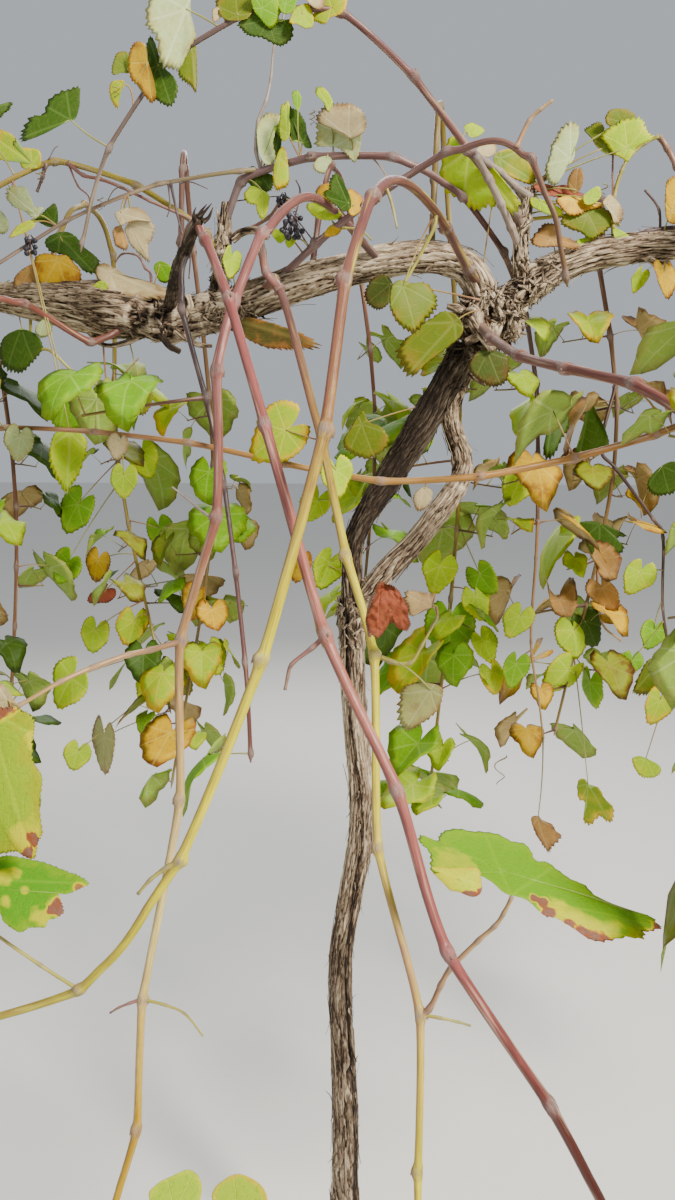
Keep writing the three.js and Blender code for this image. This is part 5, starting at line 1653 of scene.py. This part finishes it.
# The leaves nearest to the camera, drawn as the others but finer. Each lies on two half planes that
# meet in a fold: it runs through the foot (pixel and depth) and falls by slope pixels per pixel to the
# right, and a pixel higher is rise millimetres deeper above it, a pixel lower sink millimetres less deep
# below it. The fold is rounded, and bulge brings the middle forward. dead holds circles of pixels: place,
# radius and strength.
heroes = {
    "hero_big": dict(
        tint="bigGreen", foot=(512, 896, -510), centre=(508, 872), slope=0.29, rise=1.5, sink=0.4, bulge=0,
        dead=[(543, 903, 6, 1), (547, 913, 8, 1), (534, 898, 4, 1), (568, 927, 7, 1), (580, 936, 10, 1),
              (593, 942, 12, 1), (607, 946, 9, 1), (659, 930, 7, 1), (650, 937, 5, 1), (556, 910, 11, 0.45),
              (574, 922, 12, 0.45), (590, 930, 13, 0.4), (612, 934, 12, 0.35), (634, 936, 10, 0.35),
              (446, 862, 14, 0.3), (466, 866, 10, 0.3)],
        line="505,893 495,884 486,878 477,874 462,873 447,873 435,873 432,865 431,856 423,847 418,843 420,837 "
             "426,838 437,842 440,836 446,832 458,830 470,832 484,832 498,835 511,842 523,844 530,851 535,861 "
             "547,863 558,872 568,880 581,886 590,895 607,902 621,909 637,912 651,916 661,925 663,927 653,931 "
             "644,933 642,940 626,939 609,941 598,943 586,939 575,931 565,925 556,920 547,919 540,914 533,906 "
             "526,900 519,897"),
    "hero_lobe": dict(
        tint="lobeYellow", foot=(505, 893, -508), centre=(458, 878), slope=0.29, rise=0.4, sink=0.5, bulge=3,
        dead=[(464, 897, 6, 1), (474, 897, 6, 1), (482, 892, 5, 1), (450, 874, 14, 0.35)],
        line="435,866 448,868 462,868 477,868 481,877 482,886 479,895 470,896 458,892 451,891 444,884 435,875 "
             "431,868"),
    "hero_edge": dict(
        tint="edgeYellow", foot=(-4, 712, -500), centre=(-12, 780), slope=0, rise=0, sink=0.1, bulge=10,
        dead=[(31, 838, 5, 1), (35, 842, 5, 1), (29, 850, 4, 1), (26, 856, 5, 1), (0, 705, 14, 0.9),
              (34, 740, 8, 0.4), (24, 836, 16, 0.42)],
        line="-2,706 12,707 22,712 27,714 33,722 33,731 31,743 32,759 37,767 41,774 41,786 40,802 41,818 42,832 "
             "38,840 36,849 33,859 24,857 19,854 10,853 0,853 -50,846 -84,826 -98,790 -92,750 -66,722 -34,708 "
             "-16,706"),
    "hero_flat": dict(
        tint="edgeGreen", foot=(-40, 880, -500), centre=(6, 888), slope=0.05, rise=1.0, sink=0.7, bulge=2,
        dead=[(57, 910, 9, 0.95), (80, 888, 5, 0.7), (4, 878, 9, 0.4), (16, 873, 5, 0.42), (6, 902, 6, 0.4),
              (42, 918, 10, 0.42), (24, 890, 4, 0.42)],
        line="0,856 10,855 24,858 40,862 54,867 67,872 77,875 86,880 88,884 81,888 72,892 64,894 56,892 59,897 "
             "61,904 62,912 56,918 49,921 46,928 38,928 29,928 21,932 13,928 3,920 0,913 -14,905 -40,900 "
             "-66,905 -88,896 -84,880 -60,866 -20,858"),
    "hero_rust": dict(
        tint="rust", foot=(381, 582, -388), centre=(388, 606), slope=0, rise=0, sink=0.15, bulge=6, crumple=0.2,
        tooth=0.03,
        line="381,582 385,583 389,584 394,585 397,588 400,591 402,596 406,602 408,606 409,612 409,618 411,624 "
             "410,629 407,632 402,630 397,628 394,624 390,623 387,628 384,632 379,637 374,635 369,631 368,626 "
             "366,620 368,615 370,608 373,601 376,594 376,588 379,583"),
    "hero_low_left": dict(
        tint="lime", foot=(176, 1212, -540), centre=(176, 1194), slope=0, rise=0.6, sink=0, bulge=0,
        line="170,1214 154,1208 148,1196 156,1184 172,1176 188,1169 198,1176 202,1190 198,1206 184,1214"),
    "hero_low_right": dict(
        tint="turning", foot=(238, 1214, -540), centre=(240, 1196), slope=0, rise=0.6, sink=0, bulge=0,
        line="230,1216 216,1208 212,1194 220,1182 236,1175 252,1178 264,1190 266,1204 252,1214"),
}
heroTints = dict(
    bigGreen=("629400", "789a00", "84ac00"), edgeYellow=("84a000", "988e00", "a4b818"),
    edgeGreen=("4c8c00", "809c00", "84ac20"), rust=("864028", "5c2c1c", "9c563e"),
    lobeYellow=("b4c000", "bc9c10", "d0d040"), lime=("98b800", "bcc20c", "c2cc54"),
    turning=("96b208", "d6a810", "c4c44a"))


# As a leaf's finish, with a net of fine veins, and where dead is high first yellow, then brown.
def heroFinish(name, middle, rim, veins):
    finish = Finish(name, Roughness=0.55, Specular_IOR_Level=0.15)
    vein, out = veinsOf(finish, 45, 9, 7, 10, 0.6)
    place = finish.node("ShaderNodeTexCoord", {}, {}, output="Object")
    cloud, specks = finish.noise(place, 110, 5, 0.65), finish.noise(place, 320, 2)
    dead = finish.attribute("dead") * (0.6 + cloud * 0.8)
    settings = dict(feature="DISTANCE_TO_EDGE", voronoi_dimensions="3D")
    net = finish.node("ShaderNodeTexVoronoi", settings, {"Vector": place, "Scale": 330})
    net = (1 - net * 9).clipped()
    colour = finish.mix(((out - 0.7 + (cloud - 0.5) * 0.8) * 2.4).clipped(), shade(middle), shade(rim))
    colour = finish.mix((vein * 0.45).most(net * 0.22), colour, shade(veins))
    colour = finish.mix((specks - 0.5) * 1.2, colour, shade("5c6418"))
    colour = finish.mix(((dead - 0.12) * 3.4).clipped() * 0.85, colour, shade("bcb800"))
    colour = finish.mix(((dead - 0.56) * 8).clipped(), colour, shade("b07414"))
    burnt = finish.ramp(cloud, [(0.35, shade("8a4418")), (0.6, shade("785444"))])
    colour = finish.mix(((dead - 0.68) * 10).clipped(), colour, burnt)
    rough = finish.bump(specks * 0.4 - vein * 0.7 - net * 0.25, 0.6, 0.0012)
    return finish.done(Base_Color=colour, Normal=rough)


# Drawn twigs: tone, radius at both ends, the part that they leave, the depth of their end (None: the
# same as at the start) and their way in pixels. They are a little thicker at each given point. Those
# that carry drawn leaves have a name.
seenTwigs = [
    ("tan", 2.8, 1.7, "green_middle", -511, "420,1015 430,1008 441,985 451,968 479,940 495,926 504,913 512,897"),
    ("olive", 1.7, 0.9, "green_middle", None, "421,1016 440,1018 458,1022 471,1026"),
    ("rosy", 2.2, 1.2, "red_front", None, "325,635 312,648 292,664 288,676 285,690"),
    ("grey", 1.6, 0.9, "red_left", None, "215,520 203,512 185,497 172,487"),
    ("tan", 3.2, 1.8, "red_left", -500, "178,643 150,650 128,655 94,667 60,682 18,706 -4,712", "edge_stalk"),
    ("rosy", 1.7, 0.9, "red_left", None, "142,1000 130,1003 118,1008 110,1013"),
    ("olive", 1.7, 0.9, "red_left", None, "142,1000 165,1005 185,1014 203,1036"),
    ("olive", 2.4, 1.3, "yellow_long", None, "180,860 166,868 150,880 138,894"),
    ("olive", 2.2, 1.1, "green_middle", None, "376,655 392,662 410,663 422,645 433,625 437,618 437,611 433,607",
     "peach_stalk"),
    ("rosy", 1.6, 1.1, "green_middle", -388, "371,640 367,620 371,600 381,582"),
    ("tan", 1.6, 1.0, "trunk", None, "349,497 352,520 357,535 353,552 352,574 362,580 372,579"),
    ("olive", 2.4, 1.5, "arm_left_end", None, "30,300 33,345 51,351 75,373 112,392 134,402"),
    ("tan", 1.6, 1.0, "arm_left_end", None, "100,310 109,398 122,377 139,358"),
    ("dark", 3.2, 2.0, "back_13", None, "612,388 601,447 617,470 653,519 663,538 663,610 674,672", "right_hang"),
    ("tan", 2.6, 1.6, "left_arch", None, "538,520 536,558 531,642 539,701 543,737", "thin_hang"),
    ("tan", 2.6, 1.6, "back_13", None, "596,560 601,620 621,641"),
    ("rosy", 5.2, 4.6, "green_middle", None, "272,294 266,272 262,252 260,238"),
    ("olive", 3.4, 2.6, "arm_left_arch", None, "420,262 424,246 428,236"),
    ("olive", 1.8, 1.4, "yellow_long", -500, "80,990 40,965 -10,930 -44,900 -40,880"),
    ("rosy", 2.4, 1.6, "yellow_left", None, "67,168 83,175 100,179 121,187 150,201 190,219 198,226"),
    ("rosy", 1.3, 0.8, "yellow_left", None, "66,169 78,186 90,201 84,242"),
    ("dark", 2.8, 1.7, "yellow_left", None, "47,165 43,176 37,192"),
    ("dark", 0.8, 0.4, "yellow_left", None, "47,165 50,157 54,149 58,146"),
    ("dark", 1.8, 0.9, "thin_left", None, "171,190 177,213 182,233 190,251 189,279"),
    ("dark", 1.3, 0.6, "thin_left", None, "170,190 170,206 167,217"),
    ("dark", 1.0, 0.5, "thin_left", None, "180,190 181,183 191,182 208,189"),
    ("dark", 0.9, 0.4, "thin_left", None, "133,208 131,195 122,187 114,190 109,198 104,207"),
    ("rosy", 2.0, 1.2, "arm_left_end", None, "155,292 151,277 145,268 140,258 133,254 122,254 115,262"),
    ("grey", 2.4, 1.2, "left_arch", None, "259,166 256,150 258,122 266,101 271,78 274,48 282,24 284,12"),
    ("tan", 1.1, 0.6, "left_arch", None, "361,150 372,158 384,172 387,182"),
    ("olive", 1.6, 1.0, "yellow_long", None, "386,186 390,198 393,209 397,228"),
    ("tan", 2.8, 1.5, "cross_arch", None, "521,141 529,121 540,110 553,100"),
    ("olive", 2.6, 1.8, "spur_right", None, "526,220 560,216 591,214 620,225"),
    ("dark", 4.2, 3.2, "arm_right", None, "579,268 600,252 614,243 648,232 680,228 720,232"),
    ("olive", 2.8, 2.2, "arm_right", None, "612,246 614,198 622,170 631,155 645,143 659,136"),
    ("rosy", 4.4, 3.6, "arm_right", None, "700,250 690,200 676,166 667,148 659,136"),
    ("rosy", 1.8, 1.1, "arm_right", None, "612,240 613,155 622,143 631,132 638,148"),
    ("dark", 2.2, 1.4, "arm_right", None, "667,256 660,240 659,210 645,190"),
    ("olive", 2.4, 1.6, "yellow_long", None, "444,206 434,228 418,259 403,286"),
    ("grey", 5.2, 4.2, "spur_right", -95, "514,250 511,227 501,204 488,178 476,156"),
    ("grey", 4.4, 3.8, "spur_right", -90, "528,196 515,186 500,172 486,162 476,155"),
    ("rosy", 2.8, 2.2, "arm_left_arch", None, "207,262 213,252 240,234 268,218 281,200"),
    ("dark", 1.4, 0.8, "cross_arch", None, "300,238 296,222 298,205 300,190 296,180"),
    ("olive", 1.6, 1.0, "cross_arch", None, "330,226 345,228 360,230 372,240"),
]
twigTones = dict(tan=["9c7450", "b08a5c", "b8985c"], olive=["a39a3c", "b0a848", "b0ac50"],
                 rosy=["8a5c50", "97685c", "8e6c58"], grey=["9a8c80", "a39488", "8f8074"],
                 dark=["453635", "4e3e3c", "594840"])


twigLook = dict(step=3.5, fewest=10, sides=9, wander=5, swell=0.3, swellReach=3.5, foot=0.5, footReach=4)


def makeSeenTwigs():
    into, names, look = Gather(), list(twigTones), twigLook
    for n, (tone, thick, thin, part, endDepth, line, *name) in enumerate(seenTwigs):
        pixels = pixelsOf(line)
        start = rootOf(part, pixels[0])
        count = len(pixels)
        depths = np.linspace(start[1], start[1] if endDepth is None else endDepth, count)
        depths[1:] -= look["wander"] * (chance(n + np.arange(1, count)) - 0.3) * (endDepth is None)
        route = Route(np.vstack([start, spot(pixels[1:], depths[1:])]))
        drawnWays.update({key: route for key in name})
        share = np.linspace(0, 1, max(look["fewest"], int(route.length / look["step"])))
        knots = route.reach[np.linspace(0, 200, count).astype(int)] / route.length
        apart = (share[:, None] - knots) * route.length
        swell = (look["swell"] * np.exp(-(apart / look["swellReach"]) ** 2)).sum(axis=1)
        foot = look["foot"] * np.exp(-share * route.length / look["footReach"])
        radius = (thick + (thin - thick) * share) * (1 + swell + foot)
        tubes(into, route.point(share)[None], radius[None], look["sides"], names.index(tone),
              along=share[None], joint=np.minimum(1, 2.4 * swell)[None], offset=0.31 * n)
    finishes = [caneFinish("twig_" + name, tones) for name, tones in twigTones.items()]
    into.build("twigs_seen", finishes, "cane", leafNodes)


makeSeenTwigs()
makePictured()
makePlaced()
makeDrawnStalks()

# Dead and cut stubs on the old wood: tone, radii, part, how far they are to the front of it, and their
# way in pixels. The short thin ones are splinters at the end of a snapped one.
stubs = [
    ("dark", (8.4, 7.6, 7.0, 6.8), "arm_left_end", (30, 120, 200, 222), "170,304 177,272 188,244 199,218"),
    ("dark", (2.6, 1.9, 0.3), "arm_left_end", (222, 224), "196,224 200,213 207,204"),
    ("dark", (2.8, 1.8, 0.3), "arm_left_end", (224, 222), "203,222 209,217 213,207"),
    ("dark", (2.4, 1.6, 0.3), "arm_left_end", (220, 222), "194,222 194,213 196,207"),
    ("dark", (2.4, 1.5, 0.3), "arm_left_end", (223, 221), "199,218 206,210 212,203"),
    ("light", (4.6, 3.8, 3.0, 2.2), "arm_left_end", 6, "152,330 128,342 105,345 90,334 80,317 70,300"),
    ("light", (6.0, 4.6, 2.6, 0.4), "spur_left", 5, "226,246 222,232 219,219 216,207"),
    ("light", (5.0, 4.0, 2.2, 0.4), "spur_left", 2, "228,244 229,230 227,219 230,208"),
    ("mid", (5.4, 4.8, 4.4), "spur_left", 2, "232,240 243,232 256,231 262,238"),
    ("light", (6.2, 5.2, 5.4, 4.6), "spur_right", 4, "524,258 517,238 516,220 524,203 532,188"),
    ("light", (4.6, 4.2, 3.8), "spur_right", 0, "526,200 520,193 514,184 506,177"),
    ("mid", (7.0, 6.0, 5.0), "head", 6, "486,326 480,333 474,338 466,343"),
    ("light", (6.5, 6.0, 5.2), "head", 10, "470,318 478,330 486,340 494,350"),
    ("mid", (6.5, 5.0, 3.6), "head", 0, "462,312 455,308 447,306"),
    ("mid", (5.0, 4.0, 2.4), "arm_left_end", 30, "176,330 186,338 200,345 212,346"),
    ("dark", (5.6, 4.6, 3.4), "arm_left_end", 24, "160,332 168,345 180,352"),
    ("light", (5.6, 4.6, 3.0), "arm_left_end", 26, "186,296 190,306 186,318"),
    ("mid", (6.0, 5.0, 3.8), "arm_right", 6, "540,262 548,276 560,282"),
    ("light", (5.4, 4.4, 3.2), "arm_right", 6, "640,252 655,262 668,262"),
    ("mid", (5.0, 4.2, 3.0), "stem_left", 8, "470,372 478,380 486,384"),
]


stubLook = dict(step=1.8, fewest=12, sides=28, ridges=[(5, 9, 0, 0.13), (9, 30, 0.5, 0.12), (14, 4, 0.7, 0.08)])


# The ridges of a stub are waves: how many go round, how long they are, their seed and their height.
def makeStubs():
    into, look = Gather(), stubLook
    for n, (tone, radii, part, forward, line) in enumerate(stubs):
        pixels = pixelsOf(line)
        start = rootOf(part, pixels[0])
        forward = spread(np.atleast_1d(forward), np.linspace(0, 1, len(pixels)))
        route = Route(spot(pixels, start[1] - forward))
        steps = max(look["fewest"], int(route.length / look["step"]))
        share = np.linspace(0, 1, steps)[:, None]
        angle = (2 * np.pi * np.arange(look["sides"]) / look["sides"])[None, :]
        turn = angle / (2 * np.pi)
        reach = share * route.length
        radius = spread(radii, share)
        relief = radius * sum(height * ripple(turn * often, reach / long, often, n + seed)
                              for often, long, seed, height in look["ridges"])
        tubes(into, route.point(share[:, 0])[None], (radius + relief)[None], look["sides"],
              tone=stubTone[tone], relief=np.clip(relief / radius * 4, -1, 1)[None], offset=0.7 * n)
    into.build("stubs", [bark], "bark", [])


makeStubs()


# Dried berries: small wrinkled balls, (cos, sin) rings with dents, hung on thin stalks in bunches.
bunches = [("cross_arch", (292, 215), 30, 24, 16), ("thin_left", (30, 240), 14, 12, 10),
           ("spur_left", (284, 196), 16, 12, 8)]


berryLook = dict(across=12, down=8, dent=0.16, least=2.5, spread=1.1)


def makeBerries():
    into, stalks = Gather(), Gather()
    look = berryLook
    shape, quads, tris, angle, tilt = ball(look["across"], look["down"])
    ends = np.array([[0, 0, 1.0], [0, 0, -1.0]])
    for order, (part, pixel, count, wide, tall) in enumerate(bunches):
        top = rootOf(part, pixel)
        n = np.arange(count) + 100 * order
        fall = chance(n + 0.1)
        swing = 2 * np.pi * chance(n + 0.2)
        out = wide * (1 - 0.6 * fall) * chance(n + 0.3) ** 0.5
        place = spot(pixel, top[1] - 8) + np.stack([out * np.cos(swing), 0.6 * out * np.sin(swing),
                                                    -tall * 1.8 * fall], -1)
        aside, below = 3 * angle[None, None] / np.pi, 3 * tilt[None, :, None] / np.pi
        dents = 1 + look["dent"] * ripple(aside + 0 * below, below + n[:, None, None], 6, order)
        size = (look["least"] + look["spread"] * chance(n + 0.4))[:, None, None, None]
        shell = place[:, None, None] + shape[None] * size * dents[..., None]
        tips = place[:, None] + ends[None] * size[:, 0]
        points = np.concatenate([shell.reshape(count, -1, 3), tips], axis=1)
        shift = points.shape[1] * np.arange(count)[:, None, None]
        into.add(points, quads + shift, tris + shift)
        hub = spot(pixel, top[1] - 6) + np.stack([0.3 * out * np.cos(swing), 0 * out, -tall * fall + 6], -1)
        makeStalks(stalks, hub, place, 0.5 + 0 * n, 0.4 + 0 * n, np.zeros((count, 3)), 5, 5)
        spine = Route([top, spot(pixel, top[1] - 7), spot(pixel, top[1] - 7) - [0, 0, 1.2 * tall]])
        share = np.linspace(0, 1, 16)
        tubes(stalks, spine.point(share)[None], 1.0 - 0.4 * share[None], 7, along=share[None], joint=0.0)
    into.build("berries", [plainFinish("berry", "2b2530", 0.55, 0.0008, 420)], "leaves", leafNodes)
    stalks.build("berry_stalks", [caneFinish("berry_stalk", ["4a3634", "5c443c"])], "cane", leafNodes)


makeBerries()


# Tendrils: thin springs, a turn of radius r about a line that moves on as it winds, and tapers.
springs = [("red_left", (229, 300), 8, 2.2, 3, 0.9), ("yellow_left", (40, 178), 5, 2.5, 16, 0.7),
           ("left_arch", (312, 118), 4, 3, 18, 0.7), ("cross_arch", (292, 206), 9, 1.6, 14, 0.8),
           ("spur_right", (600, 190), 10, 1.2, 12, 0.8), ("sky_arch", (116, 92), 4, 2, 10, 0.6),
           ("thin_left", (100, 204), 4, 2.6, 16, 0.6), ("green_middle", (500, 770), 6, 1.5, 30, 0.7)]


springLook = dict(steps=60, sides=6, forward=6, narrowing=0.4, thinning=0.5, depth=0.6, heldDepth=0.8, tilt=0.3)


# The first winds round its own cane on a slant, and the others stand a little in front of theirs.
def makeTendrils():
    into, look = Gather(), springLook
    t = np.linspace(0, 1, look["steps"])
    for n, (part, pixel, radius, turns, rise, thick) in enumerate(springs):
        root = rootOf(part, pixel)
        held = n == 0
        centre = spot(pixel, root[1] - (0 if held else look["forward"]))
        angle = 2 * np.pi * (turns * t + chance(n))
        ring = radius * (1 - look["narrowing"] * t)
        deep = (look["heldDepth"] if held else look["depth"]) * ring * np.sin(angle)
        high = rise * (0.5 - t) + held * look["tilt"] * ring * np.sin(angle)
        line = centre + np.stack([ring * np.cos(angle), deep, high], -1)
        radii = thick * (1 - look["thinning"] * t)
        tubes(into, line[None], radii[None], look["sides"], along=t[None], joint=0.0)
    into.build("tendrils", [caneFinish("tendril", ["8f8250", "84684c", "5c463c"])], "cane", leafNodes)


makeTendrils()


foldWidth = 6  # pixels over which the fold is rounded


heroLook = dict(tooth=0.012, crumple=0.012, pucker=0.008, dead=[])  # unless a leaf says otherwise


def makeHeroes():
    for n, (name, spec) in enumerate(heroes.items()):
        footX, footY, depth = spec["foot"]

        def onFold(pixels):
            above = spec["slope"] * (pixels[..., 0] - footX) - (pixels[..., 1] - footY)
            bend = 0.5 * (above + np.hypot(above, foldWidth) - foldWidth)
            return spot(pixels, depth + spec["sink"] * above + (spec["rise"] - spec["sink"]) * bend)

        def layOnFold(shell, u):  # the fold, with the bulge as the parabola 1 + u/4 - 5/4 u^2
            return onFold(seen(shell)) - (1 + 0.25 * u - 1.25 * u ** 2) * forward

        pixels, centre = pixelsOf(spec["line"]), np.array([spec["centre"]], float)
        forward = spec["bulge"] * gaze
        middle = onFold(centre + midway * (pixels - centre)) - 0.7 * forward
        look = {**heroLook, **{key: spec[key] for key in heroLook if key in spec}}
        into = Gather()
        fillBlade(into, bladePlans["hero"], spot((footX, footY), depth), onFold(centre)[0] - forward,
                  onFold(pixels), middle, [0, 1], 60 + n, lay=layOnFold, **look)
        top = heroFinish(name, *heroTints[spec["tint"]])
        under = bladeFinish(name + "_under", *undersides["underBrown" if name == "hero_rust" else "underGreen"],
                            gloss=0.75)
        into.build(name, [top, under], "leaves", leafNodes)


makeHeroes()
print("pictured leaves, twigs and stubs made")


# Floor, light and air: a wide pale floor, a warm key lamp, a soft fill and a soft lamp behind. Each lamp:
# name, place in metres, size, power and colour.
lamps = [("key", (2.6, -2.4, 3.8), 1.0, 420, (1.0, 0.96, 0.88)),
         ("fill", (-3.0, -2.4, 2.2), 3.0, 50, (0.9, 0.95, 1.0)),
         ("back", (-0.5, 3.4, 3.4), 3.0, 110, (1.0, 1.0, 1.0))]
stage = dict(wide=40.0, floor="e2dfd8", aim=1.2, air="dfe6ee", strength=0.62)


def makeStage():
    floor = bpy.data.objects.new("floor", bpy.data.meshes.new("floor"))
    wide = stage["wide"]
    corners = [(-wide, -wide, 0), (wide, -wide, 0), (wide, wide, 0), (-wide, wide, 0)]
    floor.data.from_pydata(corners, [], [(0, 1, 2, 3)])
    pale = Finish("floor", Roughness=0.9)
    pale.shader.inputs["Base Color"].default_value = shade(stage["floor"])
    floor.data.materials.append(pale.material)
    bpy.context.scene.collection.objects.link(floor)
    for name, place, size, power, colour in lamps:
        lamp = bpy.data.lights.new(name, "AREA")
        lamp.shape, lamp.size, lamp.energy, lamp.color = "DISK", size, power, colour
        holder = bpy.data.objects.new(name, lamp)
        holder.location = place
        aim = Matrix.Translation((0, 0, stage["aim"])).translation - holder.location
        holder.rotation_euler = aim.to_track_quat("-Z", "Y").to_euler()
        bpy.context.scene.collection.objects.link(holder)
    world = bpy.data.worlds.new("air")
    world.use_nodes = True
    air = world.node_tree.nodes["Background"]
    air.inputs["Color"].default_value = shade(stage["air"])
    air.inputs["Strength"].default_value = stage["strength"]
    bpy.context.scene.world = world


makeStage()
